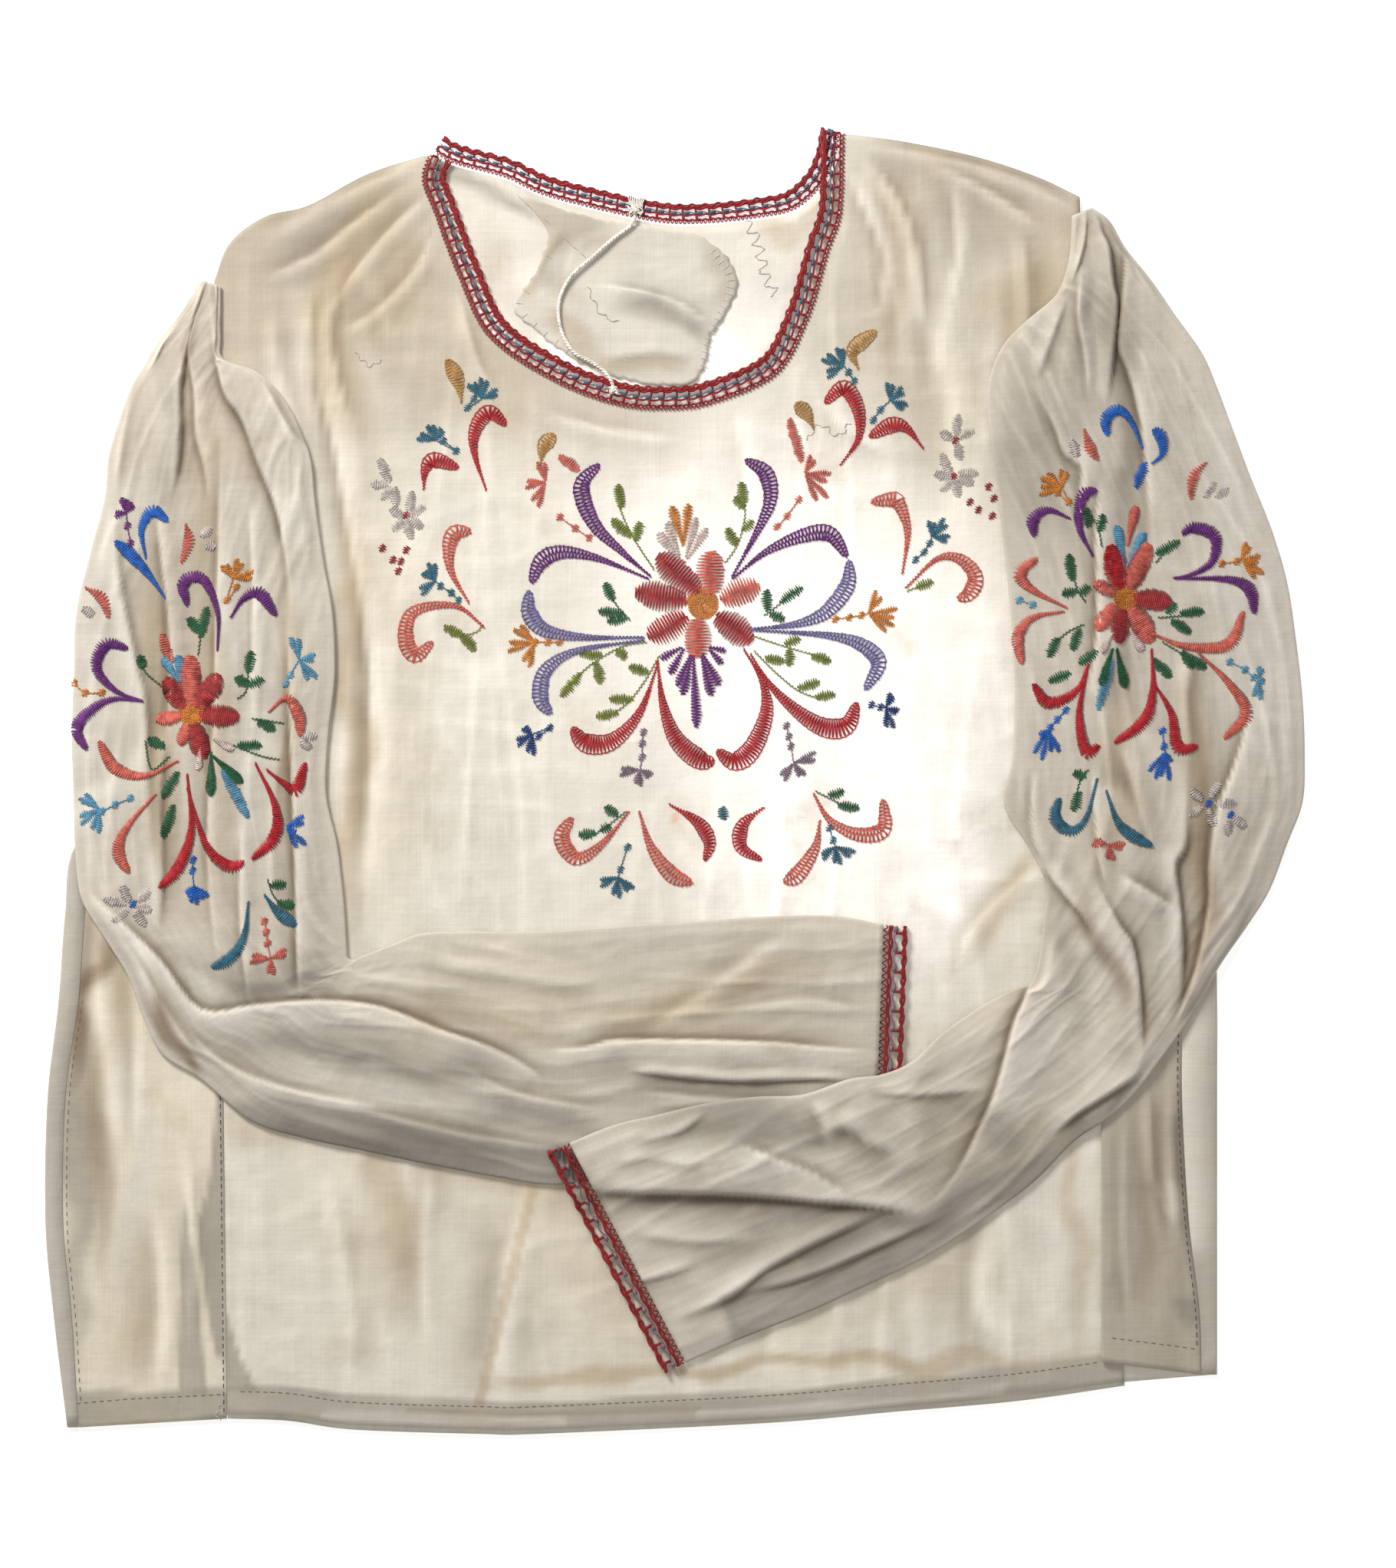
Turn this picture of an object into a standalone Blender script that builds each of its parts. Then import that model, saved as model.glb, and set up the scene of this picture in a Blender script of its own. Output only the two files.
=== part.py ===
"""Embroidered folk blouse of thin cotton, laid flat with its front up and its sleeves across it.

X runs across the garment, Y runs from the hem to the neck and Z is up. The origin lies on the
surface, under the middle of the laid-out garment. Lengths are in millimetres until a mesh is made.
Left and right are as seen from above, with the neck away from the viewer.
"""

import math
from collections import namedtuple

import bmesh
import bpy
import numpy as np
from mathutils import Vector
from mathutils.bvhtree import BVHTree

MM = 0.001

# Cloth
WALL = 1.0
GAP = 0.3
HALF_WALL = WALL / 2
LAYER = WALL + GAP
FLOOR_LAYER = HALF_WALL
FRONT_LAYER = FLOOR_LAYER + LAYER
LACE_LAYER = FRONT_LAYER + LAYER

# Lace
LACE_WIDTH = 11.0
LACE_PITCH = 6.1
LACE_GAP_LENGTH = 5.1
LACE_GAP_WIDTH = 2.6
LACE_GAP_FROM_CLOTH = 2.4
LACE_LAP = 1.5
BACK_LACE_SEAM = 1.0
BACK_LACE_WIDTH = 8.8
NECK_FRONT_GAPS = 54
NECK_BACK_GAPS = 32
LEFT_CUFF_GAPS = 16
RIGHT_CUFF_GAPS = 18

# Body
UNDERARM_Y = 28.0
BACK_HEM_INSET = 1.5
EDGE_TURN = 0.9
GORE_TOP_DROP = 6.0
PLEAT_FOLD_X = 194.5
PLEAT_LEAST_DEPTH = 4.0
PLEAT_SETTLES = 26.0
PLEAT_TOP_Y = -10.0
PLEAT_HEM_Y = -264.0

# Cord
CORD_DIAMETER = 1.9

# How finely the pieces are divided
SHOULDER_COLUMNS = 7
NECK_COLUMNS = 20
FRONT_ROWS = 16
BACK_UPPER_ROWS = 5
GORE_COLUMNS = 6
SLEEVE_UPPER_POINTS = 13
SLEEVE_LOWER_POINTS = 4
EDGE_INSET = 1.2
SEAM_LAP = 1.6
SEAM_CLEARANCE = 1.0
SLEEVE_REACH = 17.0
SLEEVE_REACH_OVER = 21.0
PILE_STEP = 2.0
PILE_HALF = 310.0

Place = namedtuple("Place", "x y")
Ring = namedtuple("Ring", "outer_x outer_y inner_x inner_y loft")
Fold = namedtuple("Fold", "height left right path")
Side = namedtuple("Side", "y edge seam")

# Outlines, each from the left to the right
LEFT_SHOULDER = [
    Place(-210, 229), Place(-203, 246), Place(-187, 258), Place(-167, 263), Place(-141, 277), Place(-114, 286),
]
RIGHT_SHOULDER = [Place(76, 296), Place(105, 292), Place(138, 285), Place(165, 276), Place(184, 267)]
FRONT_NECK = [
    Place(-111, 286), Place(-114, 275), Place(-109, 261), Place(-98, 232), Place(-84, 204), Place(-55, 184),
    Place(-26, 173), Place(-2, 171), Place(18, 174), Place(46, 187), Place(60, 212), Place(69, 242),
    Place(75, 261), Place(76, 296),
]
BACK_NECK = [
    Place(-110, 286), Place(-100, 281), Place(-78, 275), Place(-63, 268), Place(-46, 263), Place(-10, 255),
    Place(12, 254), Place(41, 257), Place(56, 261), Place(68, 272), Place(74, 285), Place(76, 296),
]
HEM = [
    Place(-204, -290), Place(-176, -291), Place(-147, -295), Place(-88, -297), Place(-63, -297),
    Place(42, -292), Place(99, -287), Place(156, -282), Place(205, -275),
]

# Sides of the body from the underarm down: the folded edge, and the seam where the back's lip ends
LEFT_SIDE = [
    Side(28, -210, -208), Side(0, -243, -234), Side(-28, -273, -264), Side(-60, -278, -269),
    Side(-100, -281, -272), Side(-144, -286, -278), Side(-200, -287, -279), Side(-245, -283, -275),
    Side(-294, -277, -272),
]
RIGHT_SIDE = [
    Side(28, 197, 194), Side(0, 222, 213), Side(-28, 240, 230), Side(-60, 246, 234),
    Side(-100, 247, 232), Side(-140, 247, 231), Side(-197, 247, 234), Side(-240, 247, 239),
    Side(-270, 247, 240),
]

# Sleeves: a row for each ring from the shoulder to the cuff, with the two folded edges of the tube
LEFT_SLEEVE = [
    Ring(-217, 229, -207, 226, 0.2), Ring(-222, 219, -207, 215, 0.6), Ring(-230, 208, -207, 203, 1.0),
    Ring(-237, 199, -206, 193, 1.2), Ring(-242, 190, -191, 187, 1.4), Ring(-248, 180, -179, 176, 1.6),
    Ring(-253, 166, -171, 161, 1.8), Ring(-258, 149, -166, 147, 1.8), Ring(-260, 130, -164, 128, 1.6),
    Ring(-267, 103, -160, 100, 1.4), Ring(-273, 77, -156, 77, 1.2), Ring(-274, 49, -155, 49, 1.2),
    Ring(-275, 21, -158, 21, 1.2), Ring(-274, -7, -159, -5, 1.2), Ring(-273, -32, -154, -28, 1.0),
    Ring(-270, -53, -151, -53, 0.8), Ring(-260, -70, -150, -68, 0.8), Ring(-249, -88, -149.5, -76, 0.8),
    Ring(-242, -107, -149, -80, 0.8), Ring(-233, -124, -146, -81, 0.8), Ring(-216, -135, -142, -79, 0.8),
    Ring(-193, -154, -137, -77, 0.8), Ring(-168, -162, -129, -74, 0.8), Ring(-144, -167, -116, -69, 0.8),
    Ring(-116, -173, -98, -68, 0.8), Ring(-84, -179, -74, -68, 0.8), Ring(-56, -183, -46, -67, 0.8),
    Ring(-25, -180, -18, -65, 0.8), Ring(7, -177, 14, -63, 0.8), Ring(39, -173, 46, -61, 0.7),
    Ring(70, -170, 74, -61, 0.6), Ring(91, -166, 95, -65, 0.5),
]
RIGHT_SLEEVE = [
    Ring(190, 262, 181, 258, 0.2), Ring(198, 256, 180, 240, 0.6), Ring(205, 244, 176, 226, 1.0),
    Ring(217, 229, 171, 219, 1.2), Ring(228, 213, 159, 209, 1.4), Ring(240, 196, 149, 198, 1.6),
    Ring(247, 180, 143, 182, 1.8), Ring(253, 164, 143, 164, 1.8), Ring(262, 140, 146, 142, 1.6),
    Ring(272, 115, 149, 115, 1.4), Ring(279, 91, 152, 89, 1.2), Ring(283, 65, 154, 63, 1.2),
    Ring(286, 38, 155, 37, 1.2), Ring(287, 12, 154, 12, 1.2), Ring(286, -9, 150, -10, 1.0),
    Ring(279, -28, 161, -29, 0.8), Ring(271, -49, 169, -46, 0.8), Ring(261, -65, 168, -63, 0.8),
    Ring(249, -82, 166, -80, 0.8), Ring(240, -98, 162, -92, 0.8), Ring(231, -112, 153, -95, 0.8),
    Ring(220, -127, 143, -100, 0.8), Ring(210, -140, 132, -107, 0.8), Ring(198, -152, 121, -115, 0.8),
    Ring(182, -163, 108, -127, 0.8), Ring(163, -182, 94, -133, 0.8), Ring(140, -199, 79, -135, 0.8),
    Ring(114, -216, 58, -142, 0.8), Ring(87, -229, 37, -143, 0.8), Ring(63, -240, 14, -146, 0.7),
    Ring(38, -250, -7, -151, 0.7), Ring(21, -257, -28, -156, 0.6), Ring(5, -264, -48, -164, 0.5),
]

# Folds: height, width to the left and to the right of the way the path runs, and the path
FRONT_FOLDS = [
    Fold(1.4, 14, 14, [(-167, 203), (-159, 175), (-151, 140), (-138, 56), (-137, 28), (-141, -79)]),
    Fold(1.2, 12, 12, [(-121, 280), (-144, 268), (-168, 256), (-190, 244)]),
    Fold(1.0, 14, 14, [(119, 217), (123, 196), (128, 170), (130, 120)]),
    Fold(1.2, 12, 12, [(-67, -189), (-76, -240), (-84, -284)]),
    Fold(1.0, 12, 12, [(150, -195), (140, -230), (150, -260)]),
]
LEFT_SIDE_FOLDS = [
    Fold(1.2, 10, 10, [(-258, -30), (-262, -90), (-256, -140), (-252, -200)]),
    Fold(1.0, 8, 8, [(-236, -190), (-232, -240), (-236, -280)]),
]
RIGHT_SIDE_FOLDS = [
    Fold(1.2, 7, 7, [(212, -150), (213, -190), (218, -230)]),
    Fold(1.0, 7, 7, [(228, -120), (226, -170), (230, -220)]),
]
LEFT_SLEEVE_FOLDS = [
    Fold(2.2, 3, 34, [
        (-272, -46), (-259, -58), (-235, -75), (-215, -102), (-203, -106), (-172, -100), (-133, -103),
        (-98, -117), (-63, -137),
    ]),
    Fold(1.8, 4, 22, [(-63, -121), (-42, -122), (-28, -118), (25, -120), (80, -123)]),
    Fold(1.8, 9, 9, [(-256, 112), (-243, 56), (-239, -11), (-236, -45)]),
    Fold(1.8, 9, 9, [(-229, 112), (-225, 42), (-224, 7), (-228, -45)]),
    Fold(1.8, 9, 9, [(-179, 112), (-180, 60), (-179, -11), (-173, -42), (-170, -80)]),
    Fold(1.8, 6, 6, [(-219, 222), (-227, 193), (-229, 161), (-233, 120)]),
    Fold(1.8, 6, 6, [(-214, 214), (-208, 179), (-196, 165), (-180, 120)]),
    Fold(1.6, 6, 6, [(-216, 214), (-217, 180), (-212, 150), (-210, 120)]),
    Fold(1.6, 8, 8, [(-228, -105), (-215, -120), (-208, -135)]),
    Fold(1.4, 10, 10, [(56, -65), (30, -85), (7, -102)]),
]
RIGHT_SLEEVE_FOLDS = [
    Fold(2.4, 32, 4, [(-46, -184), (7, -186), (42, -187), (81, -192), (112, -195)]),
    Fold(2.4, 4, 32, [(114, -194), (126, -179), (137, -158), (146, -136)]),
    Fold(1.8, 20, 4, [(91, -138), (112, -137), (146, -134), (156, -116), (161, -96)]),
    Fold(2.0, 8, 8, [(264, 35), (252, 7), (245, -28), (243, -63), (236, -98)]),
    Fold(2.0, 8, 8, [(203, 4), (214, -21), (228, -56), (231, -85)]),
    Fold(1.8, 8, 8, [(170, -63), (182, -91), (205, -112), (210, -128)]),
    Fold(1.8, 6, 6, [(190, 254), (198, 225), (200, 203), (197, 165), (192, 120)]),
    Fold(1.8, 6, 6, [(194, 254), (205, 228), (207, 190), (215, 140), (216, 100)]),
    Fold(1.8, 6, 6, [(184, 248), (180, 215), (172, 190), (180, 147), (184, 110)]),
    Fold(1.6, 9, 9, [(235, 170), (246, 120), (250, 70), (262, 35)]),
    Fold(1.4, 10, 10, [(70, -158), (40, -170), (10, -176)]),
    Fold(1.4, 10, 10, [(94, -200), (60, -208), (25, -235)]),
]

# Patch inside the back of the neck, anticlockwise from its top left corner
PATCH_OUTLINE = [
    Place(-72, 268), Place(-63, 259), Place(-58, 250), Place(-60, 240), Place(-67, 227), Place(-74, 217),
    Place(-62, 205), Place(-44, 192), Place(-20, 183), Place(2, 181), Place(12, 186), Place(17, 204),
    Place(26, 219), Place(28, 232), Place(19, 244), Place(8, 250), Place(-12, 253), Place(-40, 258),
]
# Cord from the back lace to the front lace
CORD_ROUTE = [
    Place(-18, 259), Place(-20, 254), Place(-29, 247), Place(-38, 239), Place(-47, 231), Place(-52, 222),
    Place(-53, 213), Place(-51, 204), Place(-46, 196), Place(-39, 192), Place(-33, 188), Place(-29, 183),
    Place(-28, 179),
]


def smooth_line(points, count):
    """Even points along a soft curve through the given ones, corners at its two ends."""
    table = np.array([tuple(point) for point in points], float)
    ends = np.vstack([2 * table[0] - table[1], table, 2 * table[-1] - table[-2]])
    fine = []
    for index in range(len(table) - 1):
        a, b, c, d = ends[index:index + 4]
        for t in np.linspace(0, 1, 16, endpoint=False):
            fine.append(0.5 * (
                2 * b + (c - a) * t + (2 * a - 5 * b + 4 * c - d) * t ** 2 + (3 * b - a - 3 * c + d) * t ** 3
            ))
    fine = np.array(fine + [table[-1]])
    run = np.concatenate([[0], np.cumsum(np.linalg.norm(np.diff(fine[:, :2], axis=0), axis=1))])
    wanted = np.linspace(0, run[-1], count)
    return np.column_stack([np.interp(wanted, run, fine[:, k]) for k in range(fine.shape[1])])


def fold_height(x, y, folds):
    """How far the highest of the folds lifts the cloth at a place."""
    best = 0.0
    here = np.array([x, y])
    for fold in folds:
        path = np.array(fold.path, float)
        nearest = None
        for index in range(len(path) - 1):
            start = path[index]
            run = path[index + 1] - start
            along = float(np.clip(np.dot(here - start, run) / np.dot(run, run), 0, 1))
            offset = here - start - along * run
            distance = float(np.linalg.norm(offset))
            if nearest is None or distance < nearest[0]:
                side = run[0] * offset[1] - run[1] * offset[0]
                nearest = (distance, side, (index + along) / (len(path) - 1))
        distance, side, along = nearest
        width = fold.left if side > 0 else fold.right
        if distance < width:
            taper = min(1.0, 5 * along + 0.15, 5 * (1 - along) + 0.15)
            best = max(best, fold.height * taper * 0.5 * (1 + math.cos(math.pi * distance / width)))
    return best


class Pile:
    """Height of the cloth laid so far, on a square grid."""

    def __init__(self):
        self.count = int(2 * PILE_HALF / PILE_STEP) + 1
        self.heights = np.zeros((self.count, self.count))

    def cell(self, value):
        return int(round((value + PILE_HALF) / PILE_STEP))

    def lay(self, piece):
        """Adds a finished piece to the pile."""
        graph = bpy.context.evaluated_depsgraph_get()
        tree = BVHTree.FromObject(piece, graph)
        corners = np.array([tuple(corner) for corner in piece.evaluated_get(graph).bound_box]) / MM
        low = [max(1, self.cell(value) - 1) for value in corners.min(axis=0)[:2]]
        high = [min(self.count - 2, self.cell(value) + 1) for value in corners.max(axis=0)[:2]]
        down = Vector((0, 0, -1))
        for i in range(low[0], high[0] + 1):
            for j in range(low[1], high[1] + 1):
                place = Vector((i * PILE_STEP - PILE_HALF, j * PILE_STEP - PILE_HALF, 100)) * MM
                hit = tree.ray_cast(place, down)[0]
                if hit is not None:
                    near = self.heights[i - 1:i + 2, j - 1:j + 2]
                    np.maximum(near, hit.z / MM, out=near)

    def top(self, x, y, reach):
        """Highest cloth within reach of a place."""
        cells = int(math.ceil(reach / PILE_STEP))
        i, j = self.cell(x), self.cell(y)
        return float(self.heights[max(0, i - cells):i + cells + 1, max(0, j - cells):j + cells + 1].max())


def collection(name):
    made = bpy.data.collections.new(name)
    bpy.context.scene.collection.children.link(made)
    return made


def cloth_material(name, colour, roughness=0.9):
    material = bpy.data.materials.new(name)
    material.use_nodes = True
    shader = material.node_tree.nodes["Principled BSDF"]
    shader.inputs["Base Color"].default_value = (*colour, 1)
    shader.inputs["Roughness"].default_value = roughness
    shader.inputs["Metallic"].default_value = 0
    return material


def cloth_piece(name, points, faces, material, group):
    """A wall of cloth whose middle surface has these points, in millimetres."""
    mesh = bpy.data.meshes.new(name)
    body = bmesh.new()
    corners = [body.verts.new(Vector(point) * MM) for point in points]
    for face in faces:
        body.faces.new([corners[index] for index in face])
    bmesh.ops.remove_doubles(body, verts=body.verts, dist=0.01 * MM)
    bmesh.ops.recalc_face_normals(body, faces=body.faces)
    bmesh.ops.triangulate(body, faces=body.faces)
    body.to_mesh(mesh)
    body.free()
    piece = bpy.data.objects.new(name, mesh)
    piece.data.materials.append(material)
    group.objects.link(piece)
    thickness = piece.modifiers.new("thickness", "SOLIDIFY")
    thickness.thickness = WALL * MM
    thickness.offset = 0
    return piece


def grid_faces(rows, columns):
    faces = []
    for row in range(rows - 1):
        for column in range(columns - 1):
            first = row * columns + column
            faces.append((first, first + 1, first + columns + 1, first + columns))
    return faces


def top_edge(neck):
    """The upper edge of the front or the back: shoulder, neck, shoulder."""
    left = smooth_line(LEFT_SHOULDER, SHOULDER_COLUMNS)
    middle = smooth_line(neck, NECK_COLUMNS)
    right = smooth_line(RIGHT_SHOULDER, SHOULDER_COLUMNS)
    return np.vstack([left, middle[1:-1], right])


def edge_shares(edge):
    """How far along the edge each of its points lies, from 0 to 1."""
    run = np.concatenate([[0], np.cumsum(np.linalg.norm(np.diff(edge, axis=0), axis=1))])
    return run / run[-1]


def at_shares(line, shares):
    even = edge_shares(line)
    return np.column_stack([np.interp(shares, even, line[:, k]) for k in range(2)])


def front_panel(material, group):
    top = top_edge(FRONT_NECK)
    hem = at_shares(smooth_line(HEM, 40), edge_shares(top))
    points = []
    for share in np.linspace(0, 1, FRONT_ROWS):
        for upper, lower in zip(top, hem):
            x, y = lower + share * (upper - lower)
            points.append((x, y, FRONT_LAYER + fold_height(x, y, FRONT_FOLDS)))
    return cloth_piece("front", points, grid_faces(FRONT_ROWS, len(top)), material, group)


def armhole_x(y, sign):
    """Where the side edge of the front and the back lies, above the underarm."""
    top, bottom = (LEFT_SHOULDER[0], HEM[0]) if sign < 0 else (RIGHT_SHOULDER[-1], HEM[-1])
    return float(np.interp(y, [bottom.y, top.y], [bottom.x, top.x]))


def side_rows(sign):
    """Rows down one side of the body, which the back and the side panel share."""
    side = LEFT_SIDE if sign < 0 else RIGHT_SIDE
    depths = [-row.y for row in side]
    rows = []
    for left_row in LEFT_SIDE:
        share = (UNDERARM_Y - left_row.y) / (UNDERARM_Y - LEFT_SIDE[-1].y)
        y = UNDERARM_Y - share * (UNDERARM_Y - side[-1].y)
        edge = float(np.interp(-y, depths, [row.edge for row in side]))
        seam = float(np.interp(-y, depths, [row.seam for row in side]))
        rows.append(Side(y, edge, seam))
    return rows


def back_panel(material, group):
    """The back lies on the floor and turns up and over at both sides as a lip."""
    top = top_edge(BACK_NECK)
    shares = edge_shares(top)
    columns = len(top)
    left, right = side_rows(-1), side_rows(1)
    hem_line = np.vstack([
        [left[-1].edge, left[-1].y], smooth_line(HEM, 40) + [0, BACK_HEM_INSET], [right[-1].edge, right[-1].y],
    ])
    hem = at_shares(hem_line, shares)
    points = []
    # Above the underarm the panel runs from the top edge down to a level line
    level_y = UNDERARM_Y + 2
    level_left, level_right = armhole_x(level_y, -1), armhole_x(level_y, 1)
    level = np.column_stack([level_left + shares * (level_right - level_left), np.full(columns, level_y)])
    for share in np.linspace(1, 0, BACK_UPPER_ROWS):
        for upper, lower in zip(top, level):
            points.append((*(lower + share * (upper - lower)), FLOOR_LAYER))
    # Below it each row spans the body from folded edge to folded edge
    for left_row, right_row in zip(left, right):
        down = (UNDERARM_Y - left_row.y) / (UNDERARM_Y - left[-1].y)
        start, stop = left_row.edge + EDGE_TURN, right_row.edge - EDGE_TURN
        for share, bottom in zip(shares, hem):
            y = UNDERARM_Y + down * (bottom[1] - UNDERARM_Y)
            points.append((start + share * (stop - start), y, FLOOR_LAYER))
    faces = grid_faces(BACK_UPPER_ROWS + len(left), columns)
    for sign, rows, column in ((-1, left, 0), (1, right, columns - 1)):
        lines = []
        for index, row in enumerate(rows[1:], start=BACK_UPPER_ROWS + 1):
            first = len(points)
            points.append((row.edge, row.y, FLOOR_LAYER + LAYER / 2))
            points.append((row.edge - sign * EDGE_TURN, row.y, FRONT_LAYER))
            points.append((row.seam + sign * GAP / 2, row.y, FRONT_LAYER))
            lines.append((index * columns + column, first, first + 1, first + 2))
        for above, below in zip(lines, lines[1:]):
            for step in range(3):
                faces.append((above[step], above[step + 1], below[step + 1], below[step]))
    return cloth_piece("back", points, faces, material, group)


def left_side_panel(material, group):
    rows = side_rows(-1)[2:]
    top_y = UNDERARM_Y - GORE_TOP_DROP
    points = []
    for index, row in enumerate(rows):
        y_front = top_y + index / (len(rows) - 1) * (HEM[0].y - top_y)
        x_seam = row.seam + GAP / 2
        x_front = armhole_x(y_front, -1) - GAP
        for across in np.linspace(0, 1, GORE_COLUMNS):
            x = x_seam + across * (x_front - x_seam)
            y = row.y + across * (y_front - row.y)
            lift = fold_height(x, y, LEFT_SIDE_FOLDS) if 0 < across < 1 else 0
            points.append((x, y, FRONT_LAYER + lift))
    return cloth_piece("left_side_panel", points, grid_faces(len(rows), GORE_COLUMNS), material, group)


def right_side_panel(pile, material, group):
    """Sewn to the front's edge, laid back over the front, and folded over itself to the lip."""
    rows = side_rows(1)[2:]
    points = []
    for index, row in enumerate(rows):
        y_front = PLEAT_TOP_Y + index / (len(rows) - 1) * (PLEAT_HEM_Y - PLEAT_TOP_Y)
        x_front = armhole_x(y_front, 1) + GAP
        x_seam = row.seam - GAP / 2
        fold_x = min(PLEAT_FOLD_X, x_front - PLEAT_LEAST_DEPTH)
        under = pile.top(fold_x, y_front, SLEEVE_REACH) + GAP + HALF_WALL
        over = under + LAYER
        settle_x = fold_x + PLEAT_SETTLES
        line = [
            (x_front, under), (fold_x + EDGE_TURN, under), (fold_x, (under + over) / 2),
            (fold_x + EDGE_TURN, over), (x_front, over), (settle_x, FRONT_LAYER + LAYER),
            ((settle_x + x_seam) / 2, FRONT_LAYER), (x_seam, FRONT_LAYER),
        ]
        for column, (x, z) in enumerate(line):
            y = y_front + (x - fold_x) / (x_seam - fold_x) * (row.y - y_front)
            lift = fold_height(x, y, RIGHT_SIDE_FOLDS) if 4 <= column < len(line) - 1 else 0
            points.append((x, y, z + lift))
    return cloth_piece("right_side_panel", points, grid_faces(len(rows), len(line)), material, group)


def sleeve_seam(ring, sign, is_open):
    """Shares of a ring's width where its lower wall starts and stops, at the armhole seam."""
    middle_y = (ring.outer_y + ring.inner_y) / 2
    width = math.hypot(ring.inner_x - ring.outer_x, ring.inner_y - ring.outer_y)
    share = 0.5
    if middle_y > UNDERARM_Y:
        share = (armhole_x(middle_y, sign) - ring.outer_x) / (ring.inner_x - ring.outer_x)
        share = min(max(share, 0.3), 0.9)
    stop = share - SEAM_CLEARANCE / width
    start = share + SEAM_LAP / width if is_open else stop
    return start, stop


def sleeve(name, rings, folds, sign, open_rings, pile, material, group):
    """A flattened tube; down to the underarm it is sewn to the body along a slit in its underside."""
    points = []
    for index, ring in enumerate(rings):
        outer = np.array([ring.outer_x, ring.outer_y], float)
        inner = np.array([ring.inner_x, ring.inner_y], float)
        width = float(np.linalg.norm(inner - outer))
        inset = min(EDGE_INSET / width, 0.12)
        is_open = index < open_rings
        start, stop = sleeve_seam(ring, sign, is_open)

        def lower(share, is_outside=False):
            x, y = outer + share * (inner - outer)
            top = pile.top(x, y, SLEEVE_REACH)
            if top == 0 or (is_open and is_outside):
                return (x, y, FLOOR_LAYER)
            return (x, y, top + GAP + HALF_WALL)

        def upper(share):
            x, y = outer + share * (inner - outer)
            base = pile.top(x, y, SLEEVE_REACH_OVER) + GAP + HALF_WALL + LAYER
            crown = ring.loft * math.sin(math.pi * share) ** 0.6
            lift = fold_height(x, y, folds) if inset < share < 1 - inset else 0
            return (x, y, base + crown + lift)

        over_body = [lower(share) for share in np.linspace(start, 1 - inset, SLEEVE_LOWER_POINTS)]
        above = [upper(share) for share in np.linspace(1 - inset, inset, SLEEVE_UPPER_POINTS)]
        outside = [lower(share, True) for share in np.linspace(inset, stop, SLEEVE_LOWER_POINTS)]
        inner_fold = (*inner, (over_body[-1][2] + above[0][2]) / 2)
        outer_fold = (*outer, (above[-1][2] + outside[0][2]) / 2)
        line = [*over_body, inner_fold, *above, outer_fold, *outside]
        points.extend(line)
    return cloth_piece(name, points, grid_faces(len(rings), len(line)), material, group)


def lace_band(name, cloth_edge, free_edge, heights, gaps, material, group):
    """A band with one row of cut gaps; both edges have a point at the middle of each bar."""
    points = []
    faces = []
    along = (LACE_PITCH - LACE_GAP_LENGTH) / 2 / LACE_PITCH
    near = LACE_GAP_FROM_CLOTH / LACE_WIDTH
    far = (LACE_GAP_FROM_CLOTH + LACE_GAP_WIDTH) / LACE_WIDTH
    near_line, far_line = [], []
    for index in range(gaps + 1):
        base = len(points)
        a, b = cloth_edge[index], free_edge[index]
        points.append((*a, heights[index]))
        points.append((*b, heights[index]))
        spots = []
        for share, step in ((near, -along), (near, along), (far, -along), (far, along)):
            other = min(max(index + (1 if step > 0 else -1), 0), gaps)
            step = abs(step) if other != index else 0
            edge_a = a + step * (cloth_edge[other] - a)
            edge_b = b + step * (free_edge[other] - b)
            spot = edge_a + share * (edge_b - edge_a)
            height = heights[index] + step * (heights[other] - heights[index])
            spots.append(len(points))
            points.append((*spot, height))
        near_line.append((base, spots[0], spots[1]))
        far_line.append((base + 1, spots[2], spots[3]))
    for index in range(gaps + 1):
        edge_near, near_before, near_after = near_line[index]
        edge_far, far_before, far_after = far_line[index]
        if index == 0:
            near_before, far_before = near_after, far_after
        if index == gaps:
            near_after, far_after = near_before, far_before
        if near_before != near_after:
            faces.append((edge_near, near_before, near_after))
            faces.append((near_before, far_before, far_after, near_after))
            faces.append((edge_far, far_after, far_before))
        if index == 0:
            faces.append((edge_near, near_after, far_after, edge_far))
        if index == gaps:
            faces.append((edge_near, edge_far, far_before, near_before))
        if index < gaps:
            next_near, next_far = near_line[index + 1], far_line[index + 1]
            faces.append((edge_near, near_after, next_near[1], next_near[0]))
            faces.append((edge_far, next_far[0], next_far[1], far_after))
    return cloth_piece(name, points, faces, material, group)


def beside(line, distance):
    """The line moved sideways, to its right as it runs."""
    step = np.gradient(line, axis=0)
    step /= np.linalg.norm(step, axis=1)[:, None]
    return line + distance * np.column_stack([step[:, 1], -step[:, 0]])


def neck_laces(material, group):
    front_line = smooth_line(FRONT_NECK, NECK_FRONT_GAPS + 1)
    outside = beside(front_line, LACE_LAP)
    inside = beside(front_line, LACE_LAP - LACE_WIDTH)
    level = [LACE_LAYER] * (NECK_FRONT_GAPS + 1)
    lace_band("neck_lace_front", outside, inside, level, NECK_FRONT_GAPS, material, group)
    back_line = smooth_line(BACK_NECK, NECK_BACK_GAPS + 1)
    seam = beside(back_line, -BACK_LACE_SEAM)
    free = beside(back_line, -BACK_LACE_SEAM - BACK_LACE_WIDTH)
    level = [FLOOR_LAYER] * (NECK_BACK_GAPS + 1)
    lace_band("neck_lace_back", seam, free, level, NECK_BACK_GAPS, material, group)


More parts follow.
